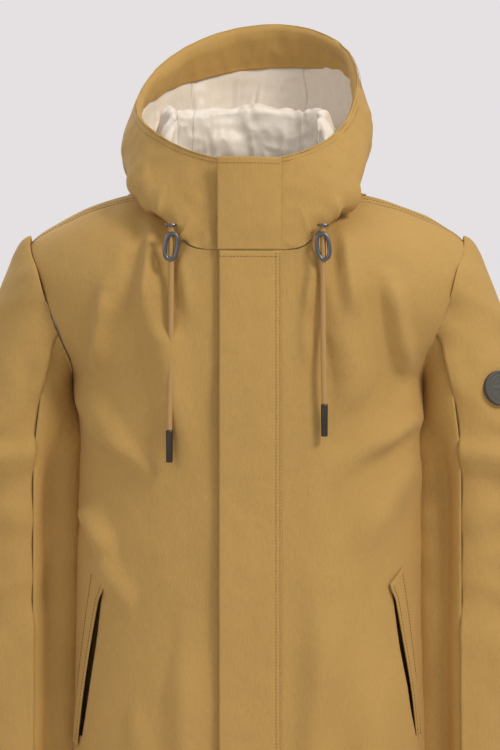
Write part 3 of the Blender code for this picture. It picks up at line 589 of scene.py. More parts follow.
BACK_CREASES = [
    ((-0.184, -0.230), (-0.080, -0.330), 0.018, 0.0040),
    ((0.184, -0.230), (0.080, -0.340), 0.018, 0.0040),
    ((-0.110, -0.420), (-0.090, -0.820), 0.034, 0.0055),
    ((0.020, -0.380), (0.030, -0.820), 0.030, 0.0045),
    ((0.120, -0.440), (0.110, -0.820), 0.034, 0.0055),
]


def body_folds(point):
    """How far the body's cloth stands out from its form."""
    creases = FRONT_CREASES if point.y < AXIS_Y else BACK_CREASES
    out = sum(crease(point, *one) for one in creases)
    fade_side = smooth_step(0.0, 0.05, abs(point.y - AXIS_Y))
    hang = noise.noise(Vector((point.x * 11, point.y * 11, point.z * 3.2)))
    rumple = noise.noise(Vector((point.x * 34, point.y * 34, point.z * 22)) + Vector((7, 0, 0)))
    under = smooth_step(-0.10, -0.30, point.z)
    side_seam = 0.0030 * (1 - fade_side) * smooth_step(0.30, 0.45, -point.z)
    broad = noise.noise(Vector((point.x * 6, point.y * 6, point.z * 2.2)) + Vector((1, 4, 9)))
    drape = 0.0090 * hang + 0.0110 * broad
    return 4.2 * out * fade_side + drape * (0.35 + 0.65 * under) + 0.0016 * rumple + side_seam


def keep_front_flat(point):
    """The strip beneath the flaps is held flat by the zip."""
    return smooth_step(0.035, 0.075, abs(point.x)) if point.y < AXIS_Y - 0.08 else 1.0


def hem_and_neck_hold(point):
    """Folds are lower at the sewn hem and beside the neck seam."""
    hem = 0.5 + 0.5 * smooth_step(0.0, 0.03, point.z + BODY_LENGTH)
    return hem * (1 - 0.85 * smooth_step(-0.040, -0.014, point.z))


def held_back(value, limit):
    """A fold may stand out freely, but dips inward by less than a limit."""
    return value if value > 0 else -limit * (1 - math.exp(value / limit))


def over_pocket(point):
    """Where the pocket bag lies close behind the front."""
    tall = smooth_step(0.36, 0.39, -point.z) * (1 - smooth_step(0.68, 0.72, -point.z))
    return tall * smooth_step(0.06, 0.09, abs(point.x)) if point.y < AXIS_Y else 0.0


def under_lock(point):
    """Where the cord locks slide over the front, whose folds stay low there."""
    beside = math.exp(-((abs(point.x) - CORD_X) / 0.016) ** 2)
    return beside * smooth_step(-0.175, -0.150, point.z) if point.y < AXIS_Y else 0.0


def shell_fold(point, u, v):
    value = body_folds(point) * keep_front_flat(point) * hem_and_neck_hold(point)
    value *= 1 - 0.85 * under_lock(point)
    return held_back(value, mix(0.0032, 0.0010, over_pocket(point)))


def lining_fold(point, u, v):
    hang = noise.noise(Vector((point.x * 22, point.y * 22, point.z * 5)))
    return -0.0022 + 0.0016 * hang


def sleeve_hollow(point):
    """The under panel lies against the body and is hollow beside its front seam."""
    turn = math.degrees(math.atan2(abs(point.x) - SLEEVE_X, AXIS_Y - 0.010 - point.y))
    near_body = 0.0205 * math.exp(-((turn + 90) / 28) ** 2) * smooth_step(0.20, 0.29, -point.z)
    hollow = -0.0120 * math.exp(-((turn + 46) / 15) ** 2) * smooth_step(0.24, 0.34, -point.z)
    return near_body + hollow


def sleeve_fold(point, u, v):
    """Long folds down the sleeve and short ones where it meets the armhole."""
    reach = abs(point.x)
    down = smooth_step(-0.10, -0.30, point.z)
    long = noise.noise(Vector((reach * 26, point.y * 26, point.z * 5.5)))
    cross = noise.noise(Vector((reach * 14 + point.z * 22, point.y * 15, point.z * 26)) + Vector((3, 3, 0)))
    hold = smooth_step(0.0, 0.04, abs(v - 1.0)) * smooth_step(0.0, 0.06, v)
    value = 0.0140 * long * down + 0.0115 * cross * (1 - smooth_step(0.35, 0.60, -point.z))
    from_badge = (Vector((reach, point.y, point.z)) - BADGE_PLACE).length
    return held_back(value, 0.0035) * hold * smooth_step(0.018, 0.055, from_badge)


def under_sleeve_fold(point, u, v):
    return 0.5 * sleeve_fold(point, u, v) * math.sin(math.pi * u) + sleeve_hollow(point)


def sleeve_lining_fold(point, u, v):
    return min(sleeve_hollow(point), 0.0) * 1.1


def pleats(turn, v):
    """Sharp small pleats where the drawcord gathers the hood, either side of the front."""
    near = math.exp(-((abs(turn) - 38) / 14) ** 2) * (1 - smooth_step(0.05, 0.65, v))
    fan = (abs(turn) - 38) / (4.6 + 7.0 * v)
    return 0.0095 * near * (1 - 1.3 * abs(math.sin(math.pi * fan * 0.5)) ** 0.8)


def hood_fold(point, u, v):
    """Gathers over the neck seam and slack along the sides of the hood."""
    turn = math.degrees(math.atan2(point.x, -(point.y - AXIS_Y)))
    near_neck = 1 - smooth_step(0.10, 0.60, v)
    side = smooth_step(16, 40, abs(turn)) * (1 - smooth_step(150, 180, abs(turn)) * 0.5)
    gather = noise.noise(Vector((turn * 0.085, v * 1.4, 4.0)))
    slack = noise.noise(point * 19 + Vector((2, 5, 1)))
    fine = noise.noise(point * 60)
    hold = smooth_step(0.0, 0.05, v)
    value = side * (0.0150 * gather * near_neck + 0.0100 * slack * (1 - v) ** 0.5) + 0.0012 * fine
    from_eyelet = math.hypot(abs(point.x) - CORD_X, point.z - CORD_TOP_Z)
    value += pleats(turn, v) * smooth_step(0.008, 0.022, from_eyelet)
    return held_back(value, 0.0022) * hold


def satin_fold(point, u, v):
    """Crumpled satin: sharp-crested ripples, mostly upright."""
    flow = Vector((point.x * 62, point.y * 62, point.z * 24))
    soft = noise.noise(flow * 0.42 + Vector((9, 1, 2)))
    sharp = 1 - 2.4 * abs(noise.noise(flow + Vector((soft, soft, 0.5)) * 1.6))
    level = Vector((point.x * 30, point.y * 30, point.z * 70))
    cross = 1 - 2.4 * abs(noise.noise(level + Vector((soft, 0, 4))))
    held = smooth_step(0.0, 0.04, v) * (1 - smooth_step(0.84, 0.95, v))
    ripple = 0.0085 * soft + 0.0024 * sharp + 0.0014 * cross
    return -0.0015 - 0.0030 * smooth_step(0.90, 0.97, v) + held * ripple


def facing_fold(point, u, v):
    flow = Vector((point.x * 46, point.y * 46, point.z * 20))
    soft = noise.noise(flow * 0.5)
    sharp = 1 - 2.2 * abs(noise.noise(flow + Vector((1, 7, 2))))
    return (0.0040 * soft + 0.0014 * sharp) * smooth_step(0.0, 0.4, 1 - v)


# ---------------------------------------------------------------- materials

def linear(code):
    """A colour written as sRGB hex, in the linear values that shaders use."""
    parts = [int(code[i:i + 2], 16) / 255 for i in (1, 3, 5)]
    return (*[p / 12.92 if p <= 0.04045 else ((p + 0.055) / 1.055) ** 2.4 for p in parts], 1.0)


def new_material(name):
    material = bpy.data.materials.new(name)
    material.use_nodes = True
    return material, material.node_tree, material.node_tree.nodes["Principled BSDF"]


def add(tree, kind, inputs, **settings):
    """One node: its settings, and for each input a value or the socket that feeds it."""
    item = tree.nodes.new(kind)
    for name, value in settings.items():
        setattr(item, name, value)
    for name, value in inputs.items():
        if isinstance(value, bpy.types.NodeSocket):
            tree.links.new(value, item.inputs[name])
        else:
            item.inputs[name].default_value = value
    return item


def coordinates(tree, kind, stretch):
    """Object or UV coordinates, stretched."""
    source = tree.nodes.new("ShaderNodeTexCoord")
    placed = add(tree, "ShaderNodeMapping", {"Vector": source.outputs[kind], "Scale": stretch})
    return placed.outputs["Vector"]


def noise_value(tree, vector, scale, detail=3.0, rough=0.55):
    return add(tree, "ShaderNodeTexNoise", {"Vector": vector, "Scale": scale, "Detail": detail,
                                            "Roughness": rough}).outputs["Fac"]


def spread(tree, value, low, high):
    """A 0..1 value spread between two others."""
    ranged = add(tree, "ShaderNodeMapRange", {"Value": value, "To Min": low, "To Max": high})
    return ranged.outputs["Result"]


def math_of(tree, operation, first, second):
    return add(tree, "ShaderNodeMath", {0: first, 1: second}, operation=operation).outputs[0]


def tinted(tree, colour, value):
    """The colour, brightened or darkened by a value near 1."""
    return add(tree, "ShaderNodeHueSaturation", {"Color": colour, "Value": value}).outputs["Color"]


def weave(tree, pitch):
    """Over and under threads of a plain weave, on the cloth's own UV in metres."""
    source = tree.nodes.new("ShaderNodeUVMap")
    source.uv_map = "cloth"
    threads = (1 / pitch, 1 / pitch, 1)
    turned = add(tree, "ShaderNodeMapping", {"Vector": source.outputs["UV"], "Scale": threads})
    wobble = noise_value(tree, turned.outputs["Vector"], 0.18, 2.0)
    moved = add(tree, "ShaderNodeVectorMath", {0: turned.outputs["Vector"], 1: wobble}, operation='ADD')
    parts = add(tree, "ShaderNodeSeparateXYZ", {"Vector": moved.outputs[0]})
    waves = [math_of(tree, 'SINE', math_of(tree, 'MULTIPLY', parts.outputs[axis], math.tau / 2), 0.0)
             for axis in ("X", "Y")]
    return math_of(tree, 'MULTIPLY', waves[0], waves[1])


def cotton(name, colour, thread=0.0013, depth=0.35, rough=0.82):
    """Dense plain-woven cotton, drawn with threads coarser than the real half millimetre."""
    material, tree, shader = new_material(name)
    place = coordinates(tree, "Object", (1, 1, 1))
    streaks = coordinates(tree, "Object", (900, 900, 120))
    threads = weave(tree, thread)
    cloud = spread(tree, noise_value(tree, place, 9.0), 0.93, 1.07)
    slub = spread(tree, noise_value(tree, streaks, 1.0, 2.0), 0.88, 1.12)
    grain = spread(tree, noise_value(tree, place, 1400.0, 2.0), 0.90, 1.10)
    tone = math_of(tree, 'MULTIPLY', math_of(tree, 'MULTIPLY', cloud, slub), grain)
    # The weave also lightens the base colour a little on the thread crests: a small painted highlight on the
    # weave.
    tone = math_of(tree, 'MULTIPLY', tone, spread(tree, threads, 1.0, 1.035))
    tree.links.new(tinted(tree, linear(colour), tone), shader.inputs["Base Color"])
    wrinkle = noise_value(tree, coordinates(tree, "Object", (1, 1, 0.6)), 26.0, 5.0, 0.5)
    soft = add(tree, "ShaderNodeBump", {"Height": wrinkle, "Strength": 0.55, "Distance": 0.006})
    bump = add(tree, "ShaderNodeBump", {"Height": threads, "Strength": depth, "Distance": 0.0002,
                                        "Normal": soft.outputs["Normal"]})
    tree.links.new(bump.outputs["Normal"], shader.inputs["Normal"])
    shader.inputs["Roughness"].default_value = rough
    shader.inputs["Sheen Weight"].default_value = 0.22
    shader.inputs["Sheen Roughness"].default_value = 0.45
    shader.inputs["Sheen Tint"].default_value = linear("#F2DDB4")
    shader.inputs["Specular IOR Level"].default_value = 0.30
    return material


def satin(name, colour):
    material, tree, shader = new_material(name)
    place = coordinates(tree, "Object", (1, 1, 1))
    cloud = spread(tree, noise_value(tree, place, 14.0), 0.95, 1.05)
    tree.links.new(tinted(tree, linear(colour), cloud), shader.inputs["Base Color"])
    crumple = noise_value(tree, coordinates(tree, "Object", (1, 1, 0.5)), 130.0, 3.0)
    first = add(tree, "ShaderNodeBump", {"Height": crumple, "Strength": 0.30, "Distance": 0.0025})
    bump = add(tree, "ShaderNodeBump", {"Height": weave(tree, 0.0008), "Strength": 0.10, "Distance": 0.0001,
                                        "Normal": first.outputs["Normal"]})
    tree.links.new(bump.outputs["Normal"], shader.inputs["Normal"])
    shader.inputs["Roughness"].default_value = 0.42
    shader.inputs["Sheen Weight"].default_value = 0.30
    shader.inputs["Sheen Roughness"].default_value = 0.30
    return material


def brushed_metal(name, colour, rough):
    material, tree, shader = new_material(name)
    place = coordinates(tree, "Object", (1, 1, 1))
    tree.links.new(tinted(tree, linear(colour), spread(tree, noise_value(tree, place, 220.0), 0.85, 1.15)),
                   shader.inputs["Base Color"])
    tree.links.new(spread(tree, noise_value(tree, place, 500.0), rough - 0.08, rough + 0.10),
                   shader.inputs["Roughness"])
    shader.inputs["Metallic"].default_value = 1.0
    return material


def braid(name, colour):
    """A round cord plaited from fine strands, on a UV that runs along and round it."""
    material, tree, shader = new_material(name)
    source = tree.nodes.new("ShaderNodeUVMap")
    source.uv_map = "cloth"
    parts = add(tree, "ShaderNodeSeparateXYZ", {"Vector": source.outputs["UV"]})
    along = math_of(tree, 'MULTIPLY', parts.outputs["Y"], math.tau / 0.0032)
    around = math_of(tree, 'MULTIPLY', parts.outputs["X"], math.tau * 5)
    first = math_of(tree, 'SINE', math_of(tree, 'ADD', along, around), 0.0)
    second = math_of(tree, 'SINE', math_of(tree, 'SUBTRACT', along, around), 0.0)
    strands = math_of(tree, 'MAXIMUM', first, second)
    # The strand relief also darkens the colour in the grooves between strands: painted shade, and lighter
    # strand crests.
    tone = spread(tree, strands, 0.86, 1.06)
    tree.links.new(tinted(tree, linear(colour), tone), shader.inputs["Base Color"])
    bump = add(tree, "ShaderNodeBump", {"Height": strands, "Strength": 0.6, "Distance": 0.0004})
    tree.links.new(bump.outputs["Normal"], shader.inputs["Normal"])
    shader.inputs["Roughness"].default_value = 0.80
    return material


def moulded_rubber(name, colour):
    material, tree, shader = new_material(name)
    place = coordinates(tree, "Object", (1, 1, 1))
    grain = noise_value(tree, place, 900.0)
    mottled = tinted(tree, linear(colour), spread(tree, grain, 0.92, 1.08))
    tree.links.new(mottled, shader.inputs["Base Color"])
    bump = add(tree, "ShaderNodeBump", {"Height": grain, "Strength": 0.15, "Distance": 0.0002})
    tree.links.new(bump.outputs["Normal"], shader.inputs["Normal"])
    shader.inputs["Roughness"].default_value = 0.62
    return material


def plain_studio(name, colour):
    material, tree, shader = new_material(name)
    place = coordinates(tree, "Object", (1, 1, 1))
    tone = spread(tree, noise_value(tree, place, 2.0), 0.995, 1.005)
    tree.links.new(tinted(tree, linear(colour), tone), shader.inputs["Base Color"])
    shader.inputs["Roughness"].default_value = 0.95
    shader.inputs["Specular IOR Level"].default_value = 0.0
    return material


SHELL = cotton("camel_cotton_weave", "#BF9956")
THREAD = cotton("camel_sewing_thread", "#80602E", 0.0006, 0.2, 0.6)
TAPE = cotton("woven_cotton_tape", "#8F6E3C", 0.0010, 0.5)
BAG = cotton("pocket_cotton_twill", "#98783F", 0.0012)
SATIN = satin("cream_polyester_satin", "#EAE0CF")
BRAID = braid("braided_cotton_cord", "#C29A5E")
GUNMETAL = brushed_metal("gunmetal_zinc_alloy", "#77797C", 0.34)
DARK_METAL = brushed_metal("blackened_zinc_alloy", "#55504A", 0.40)
RUBBER = moulded_rubber("charcoal_silicone_rubber", "#56534C")
STUDIO = plain_studio("matt_paper_floor", "#E9E5E6")


# ---------------------------------------------------------------- building pieces

def new_piece(name, mesh, material):
    item = bpy.data.objects.new(name, mesh)
    bpy.context.scene.collection.objects.link(item)
    mesh.materials.clear()
    mesh.materials.append(material)
    mesh.shade_smooth()
    return item


def made_plain(item):
    """Turn an object and its modifiers into one plain mesh."""
    graph = bpy.context.evaluated_depsgraph_get()
    mesh = bpy.data.meshes.new_from_object(item.evaluated_get(graph))
    item.modifiers.clear()
    item.data = mesh
    return item


def line_length(points):
    return sum((b - a).length for a, b in zip(points, points[1:]))


def panel(name, surface, across, along, material, thickness, fold=None, turned_over=False):
    """A panel of cloth on a fine grid, with its folds, its own UV in metres and its thickness inside."""
    rows = [[surface(i / across, j / along) for i in range(across + 1)] for j in range(along + 1)]
    width = max(line_length(row) for row in rows)
    length = max(line_length(column) for column in zip(*rows))
    points = [point for row in rows for point in row]
    wide = across + 1
    faces = [(j * wide + i, j * wide + i + 1, (j + 1) * wide + i + 1, (j + 1) * wide + i)
             for j in range(along) for i in range(across)]
    mesh = bpy.data.meshes.new(name)
    mesh.from_pydata(points, [], faces)
    mesh.update()
    layer = mesh.uv_layers.new(name="cloth")
    for loop in mesh.loops:
        j, i = divmod(loop.vertex_index, wide)
        layer.data[loop.index].uv = (i / across * width, j / along * length)
    if fold:
        normals = [vertex.normal.copy() for vertex in mesh.vertices]
        for vertex, normal in zip(mesh.vertices, normals):
            j, i = divmod(vertex.index, wide)
            vertex.co += normal * fold(vertex.co, i / across, j / along)
    item = new_piece(name, mesh, material)
    wall = item.modifiers.new("thickness", 'SOLIDIFY')
    wall.thickness = thickness
    wall.offset = -1
    made_plain(item)
    item.data.shade_smooth()
    return item


def cut_size(item):
    """The size a panel was cut to, from its own UV, and the area of its outer side."""
    layer = item.data.uv_layers["cloth"]
    wide = max(entry.uv.x for entry in layer.data)
    long = max(entry.uv.y for entry in layer.data)
    area = sum(face.area for face in item.data.polygons) / 2
    return (wide, long), min(max(area, 0.3 * wide * long), wide * long)


def cloth_piece(item, nodes, finish):
    """Hide the imported parts that a panel of cloth stands for and measure its cut size. The finish is not
    used.
    """
    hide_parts(*nodes)
    flat, area = cut_size(item)
    return item


def repaint(node, material):
    """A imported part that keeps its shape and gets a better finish."""
    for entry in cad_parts[node].material_slots:
        entry.material = material


# ---------------------------------------------------------------- camera, light and floor

CAMERA_LENS = 135
CAMERA_SENSOR = 36
CAMERA_PLACE = (0.003, -3.115, -0.208)


def make_camera():
    camera = bpy.data.objects.new("camera", bpy.data.cameras.new("camera"))
    camera.data.lens = CAMERA_LENS
    camera.data.sensor_width = CAMERA_SENSOR
    camera.location = CAMERA_PLACE
    camera.rotation_euler = (math.radians(90), 0, 0)
    bpy.context.scene.collection.objects.link(camera)
    bpy.context.scene.camera = camera


def soft_light(name, place, target, size, power, colour):
    lamp = bpy.data.lights.new(name, 'AREA')
    lamp.shape = 'DISK'
    lamp.size = size
    lamp.energy = power
    lamp.color = linear(colour)[:3]
    item = bpy.data.objects.new(name, lamp)
    item.location = place
    item.rotation_euler = (Vector(target) - Vector(place)).to_track_quat('-Z', 'Y').to_euler()
    bpy.context.scene.collection.objects.link(item)


def make_world():
    """Even soft light from all round, in front of a plain pale backdrop."""
    world = bpy.data.worlds.new("studio")
    world.use_nodes = True
    tree = world.node_tree
    lit = tree.nodes["Background"]
    lit.inputs["Color"].default_value = linear("#F1EEF0")
    lit.inputs["Strength"].default_value = 0.50
    seen = add(tree, "ShaderNodeBackground", {"Color": linear("#E5E1E2"), "Strength": 1.0})
    path = tree.nodes.new("ShaderNodeLightPath")
    both = add(tree, "ShaderNodeMixShader", {0: path.outputs["Is Camera Ray"], 1: lit.outputs[0],
                                             2: seen.outputs[0]})
    tree.links.new(both.outputs[0], tree.nodes["World Output"].inputs["Surface"])
    bpy.context.scene.world = world


FLOOR_RADIUS = 1.3
FLOOR_DROP = 0.02  # the floor lies this far under the hem


def make_floor():
    """A plain round floor under the coat."""
    count = 96
    angles = [math.tau * i / count for i in range(count)]
    floor_z = -BODY_LENGTH - FLOOR_DROP
    points = [Vector((FLOOR_RADIUS * math.cos(angle), FLOOR_RADIUS * math.sin(angle), floor_z))
              for angle in angles]
    mesh = bpy.data.meshes.new("floor")
    mesh.from_pydata(points, [], [tuple(range(count))])
    new_piece("floor", mesh, STUDIO)


def make_studio():
    bpy.context.scene.view_settings.view_transform = 'Standard'
    make_world()
    make_floor()
    soft_light("key_light", (2.0, -1.9, 2.0), (0, 0, -0.1), 1.0, 62, "#FFF9F4")
    soft_light("fill_light", (-2.0, -2.2, 0.9), (0, 0, -0.1), 1.5, 12, "#FBF8FF")
    soft_light("top_light", (0.2, 0.2, 2.2), (0, 0, 0), 1.4, 10, "#FFFFFF")
    soft_light("rear_light", (-1.5, 2.6, 1.2), (0, 0, -0.2), 1.6, 26, "#FFFFFF")


# ---------------------------------------------------------------- drawcord, its locks and tips

def cord_point(side, z, aside=0.0):
    across = (1 - (CORD_X / half_width(CORD_TOP_Z)) ** ROUNDNESS) ** (1 / ROUNDNESS)
    front_y = AXIS_Y - (FRONT_DEPTH - FRONT_LEAN * z) * across - CORD_STAND
    return Vector((side * (CORD_X + aside), front_y, z))


def smooth_route(points, count):
    """Points along a smooth curve through a route's own points."""
    ends = [points[0] * 2 - points[1], *points, points[-1] * 2 - points[-2]]
    spans = len(points) - 1
    result = []
    for i in range(count):
        place = i / (count - 1) * spans
        k = min(int(place), spans - 1)
        t = place - k
        a, b, c, d = ends[k:k + 4]
        result.append((b * 2 + (c - a) * t + (a * 2 - b * 5 + c * 4 - d) * t ** 2
                       + (b * 3 - a - c * 3 + d) * t ** 3) / 2)
    return result


def ring_rows(name, rows, closed, material, pattern=(1.0, 0.001)):
    """A skin over rings of points, each ring joined round, capped or closed into a loop."""
    count = len(rows[0])
    points = [point for row in rows for point in row]
    spans = len(rows) if closed else len(rows) - 1
    faces = [(j * count + i, j * count + (i + 1) % count, (j + 1) % len(rows) * count + (i + 1) % count,
              (j + 1) % len(rows) * count + i) for j in range(spans) for i in range(count)]
    if not closed:
        faces.append(tuple(reversed(range(count))))
        faces.append(tuple((len(rows) - 1) * count + i for i in range(count)))
    mesh = bpy.data.meshes.new(name)
    mesh.from_pydata(points, [], faces)
    layer = mesh.uv_layers.new(name="cloth")
    for face in mesh.polygons:
        for k in face.loop_indices:
            j, i = divmod(mesh.loops[k].vertex_index, count)
            wrap = count if i == 0 and face.vertices[0] % count == count - 1 else i
            layer.data[k].uv = (wrap / count * pattern[0], j * pattern[1])
    shape = bmesh.new()
    shape.from_mesh(mesh)
    bmesh.ops.recalc_face_normals(shape, faces=shape.faces)
    shape.to_mesh(mesh)
    shape.free()
    return new_piece(name, mesh, material)


def ring_around(middle, direction, radii, count):
    """A ring of points square to a direction, with one radius across and one front to back."""
    forward = direction.normalized()
    across = Vector((1, 0, 0))
    across = (across - forward * across.dot(forward)).normalized()
    deep = forward.cross(across)
    return [middle + across * radii[0] * math.cos(math.tau * i / count)
            + deep * radii[1] * math.sin(math.tau * i / count) for i in range(count)]


def cord_drop(z):
    """How far the cord has swung outward by a height, in metres."""
    return 0.0020 * smooth_step(0.150, 0.300, -z)


def cord_route(side, name):
    end_z = CORD_TOP_Z - CORD_LENGTHS[name]
    heights = [mix(CORD_TOP_Z, end_z, i / 6) for i in range(7)]
    return smooth_route([cord_point(side, z, cord_drop(z)) for z in heights], 120)


def make_cord_lock(side, name):
    """An oval ring lying on the cord, which shows in its window."""
    high, low = (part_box("cord_lock_" + name)[i] for i in (1, 0))
    middle = (Vector(high) + Vector(low)) / 2
    half_wide, half_tall = (high[0] - low[0]) / 2, (high[2] - low[2]) / 2
    rim = 0.0022
    back_lean = Matrix.Rotation(-math.atan(FRONT_LEAN), 4, 'X')
    lean = Matrix.Rotation(math.radians(-7 * side), 4, 'Y') @ back_lean
    rows = []
    for i in range(56):
        angle = math.tau * i / 56
        spine = Vector((signed_power(math.cos(angle), 0.8) * (half_wide - rim), -0.0030,
                        signed_power(math.sin(angle), 0.8) * (half_tall - rim)))
        out = Vector((math.cos(angle) * half_tall, 0, math.sin(angle) * half_wide)).normalized()
        row = [middle + (lean @ (spine + out * rim * signed_power(math.cos(math.tau * k / 14), 0.8)
                                 + Vector((0, 0.0024 * signed_power(math.sin(math.tau * k / 14), 0.8), 0))))
               for k in range(14)]
        rows.append(row)
    lock = ring_rows("oval_cord_lock_" + name, rows, True, GUNMETAL)
    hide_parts("cord_lock_" + name)
    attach(lock, "cord_lock_" + name)
    return lock


def make_tip(side, name):
    """A slim metal sleeve crimped over the end of the cord."""
    end_z = CORD_TOP_Z - CORD_LENGTHS[name]
    top = cord_point(side, end_z + 0.0006, cord_drop(end_z))
    bottom = cord_point(side, end_z - TIP_LENGTH, cord_drop(end_z))
    profile = [(0.0, 0.0031), (0.010, 0.0036), (0.06, 0.0037), (0.10, 0.0035),
               (0.13, 0.0036), (0.96, 0.0034), (0.99, 0.0031), (1.0, 0.0024)]
    rows = [ring_around(top.lerp(bottom, place), bottom - top, (radius, radius), 28)
            for place, radius in profile]
    tip = ring_rows("cord_end_" + name, rows, False, DARK_METAL)
    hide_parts("cord_tip_" + name)
    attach(tip, "coat")
    return tip


def make_drawcords():
    for side, name in ((1, "left"), (-1, "right")):
        route = cord_route(side, name)
        step = CORD_LENGTHS[name] / (len(route) - 1)
        rows = [ring_around(point, route[min(i + 1, len(route) - 1)] - route[max(i - 1, 0)],
                            (CORD_RADIUS, CORD_RADIUS), 18) for i, point in enumerate(route)]
        cord = ring_rows("hood_drawcord_" + name, rows, False, BRAID, (1.0, step))
        lock = make_cord_lock(side, name)
        tip = make_tip(side, name)
        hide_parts("drawcord_" + name)
        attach(cord, "coat")


# ---------------------------------------------------------------- body, sleeves and hood

def pocket_turn(z):
    return mix(POCKET_TOP_TURN, POCKET_END_TURN, (POCKET_TOP_Z - z) / POCKET_LENGTH)


def mouth_gap(z):
    """How far the pocket's mouth gapes past its flap, in degrees of turn."""
    down = (POCKET_TOP_Z - z) / POCKET_LENGTH
    return 1.9 * smooth_step(0.12, 0.45, down) * (1 - 0.5 * smooth_step(0.75, 1.05, down))


def pocket_slot(u, v):
    z = mix(POCKET_TOP_Z - POCKET_LENGTH + 0.010, POCKET_TOP_Z - 0.026, v)
    return torso(pocket_turn(z) + mix(-POCKET_FLAP_TURNS - mouth_gap(z), -2.5, u), z, -0.004)


def cut_away(item, cutter):
    """Take the cutter's space out of a piece, for good."""
    tool = item.modifiers.new("mouth", 'BOOLEAN')
    tool.operation = 'DIFFERENCE'
    tool.solver = 'EXACT'
    tool.object = cutter
    bpy.context.view_layer.update()
    made_plain(item)
    bpy.data.objects.remove(cutter, do_unlink=True)
    item.data.shade_smooth()


def make_body():
    for name, turned in (("left", lambda s: s), ("right", mirrored)):
        front = panel("front_" + name, turned(front_surface()), 90, 230, SHELL, CLOTH, shell_fold)
        cut_away(front, panel("pocket_mouth_" + name, turned(pocket_slot), 4, 40, BAG, POCKET_MOUTH_DEPTH))
        cloth_piece(front, ["front_panel_" + name], "camel_cotton")
        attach(front, "coat")
        inside = panel("front_satin_" + name, turned(front_lining_surface()), 40, 90, SATIN, LINING,
                       lining_fold)
        cloth_piece(inside, ["front_lining_" + name], "cream_satin")
        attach(inside, "coat")
        repaint("pocket_bag_" + name, BAG)
    for name, node, surface, across, along, material, thickness, finish, fold in (
            ("back_of_body", "back_panel", back_surface(), 130, 190,
             SHELL, CLOTH, "camel_cotton", shell_fold),
            ("back_satin", "back_lining", back_lining_surface(), 60, 80,
             SATIN, LINING, "cream_satin", lining_fold),
            ("yoke", "back_yoke", yoke_surface(0.0), 150, 50,
             SHELL, CLOTH, "camel_cotton", shell_fold),
            ("yoke_satin", "yoke_lining", yoke_surface(LINING_INSET), 80, 24,
             SATIN, LINING, "cream_satin", None)):
        item = panel(name, surface, across, along, material, thickness, fold)
        cloth_piece(item, [node], finish)
        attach(item, "coat")


def bend_with_sleeve(item):
    """Bake the piece's placement into its mesh."""
    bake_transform(item)


def make_sleeves():
    for side, name, turned in ((1, "left", lambda s: s), (-1, "right", mirrored)):
        for part, node, start, end, inset, across, along, material, thickness, finish, fold in (
                ("sleeve_top", "upper_sleeve_", -SLEEVE_SEAM, 180 + SLEEVE_SEAM, 0.0, 76, 170,
                 SHELL, CLOTH, "camel_cotton", sleeve_fold),
                ("sleeve_under", "under_sleeve_", -180 + SLEEVE_SEAM, -SLEEVE_SEAM, 0.0, 50, 170,
                 SHELL, CLOTH, "camel_cotton", under_sleeve_fold),
                ("sleeve_satin", "sleeve_lining_", -90, 270, 0.0075, 60, 80,
                 SATIN, LINING, "cream_satin", sleeve_lining_fold)):
            surface = turned(sleeve_panel(start, end, inset))
            item = panel(part + "_" + name, surface, across, along, material, thickness, fold)
            cloth_piece(item, [node + name], finish)
            bend_with_sleeve(item)


def sleeve_at(turn, z):
    """The point of the sleeve at a true height, found by halving."""
    low, high = 0.0, 1.0
    for _ in range(30):
        middle = (low + high) / 2
        if sleeve(turn, middle).z < z:
            low = middle
        else:
            high = middle
    return sleeve(turn, low)


BADGE_PLACE = sleeve_at(BADGE_TURN, BADGE_Z)


def badge_frame():
    """The middle of the badge, and the directions round, up and out of the sleeve there."""
    round_it = (sleeve_at(BADGE_TURN + 8, BADGE_Z) - sleeve_at(BADGE_TURN - 8, BADGE_Z)).normalized()
    up = sleeve_at(BADGE_TURN, BADGE_Z + BADGE_RADIUS) - sleeve_at(BADGE_TURN, BADGE_Z - BADGE_RADIUS)
    out = round_it.cross(up).normalized()
    return BADGE_PLACE, round_it, out.cross(round_it), out


def badge_relief(across, up):
    """Height of the badge's moulded face: a rim, an inner ring and a plain four-pointed star."""
    radius = math.hypot(across, up) / BADGE_RADIUS
    rim = smooth_step(0.86, 0.89, radius) * (1 - smooth_step(0.97, 1.0, radius))
    ring = smooth_step(0.66, 0.68, radius) * (1 - smooth_step(0.73, 0.75, radius))
    angle = math.atan2(up, across)
    reach = 0.16 + 0.38 * abs(math.cos(2 * angle)) ** 6
    star = 1 - smooth_step(reach - 0.03, reach + 0.03, radius)
    return 0.0012 + 0.0007 * rim + 0.0005 * ring + 0.0006 * star


def make_badge():
    """A round rubber patch, bent round the sleeve."""
    middle, round_it, up, out = badge_frame()
    count, rings = 96, 44

    def place(radius, angle, height):
        across, tall = radius * math.cos(angle), radius * math.sin(angle)
        bend = across ** 2 / (2 * BADGE_BEND)
        return middle + round_it * across + up * tall + out * (BADGE_STAND + height - bend)

    rows = [[place(BADGE_RADIUS, math.tau * i / count, -0.0030) for i in range(count)]]
    for k in range(rings):
        radius = BADGE_RADIUS * (1 - k / rings)
        rows.append([place(radius, math.tau * i / count,
                           badge_relief(radius * math.cos(math.tau * i / count),
                                        radius * math.sin(math.tau * i / count))) for i in range(count)])
    badge = ring_rows("round_badge", rows, False, RUBBER)
    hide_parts("sleeve_badge")
    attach(badge, "sleeve_left")


def facing_surface(start, end):
    """The self-cloth band inside the rim, rolled over the edge and over its cord."""
    def place(u, v):
        inset = through([(0.0, 0.0062), (0.35, 0.0088), (0.70, 0.0092), (0.92, 0.0060), (1.0, 0.0004)], v)
        turn = mix(start, end, u)
        return hood_inside(turn, mix(FACING_FROM, 1.0, v), inset)
    return place


def right_hood_side(u, v):
    """The wearer's right side: the same turns the other way round, with the rim's lean kept."""
    return hood(360 - mix(hood_front_edge(v), CENTRE_PANEL_TURN, 1 - u), v)


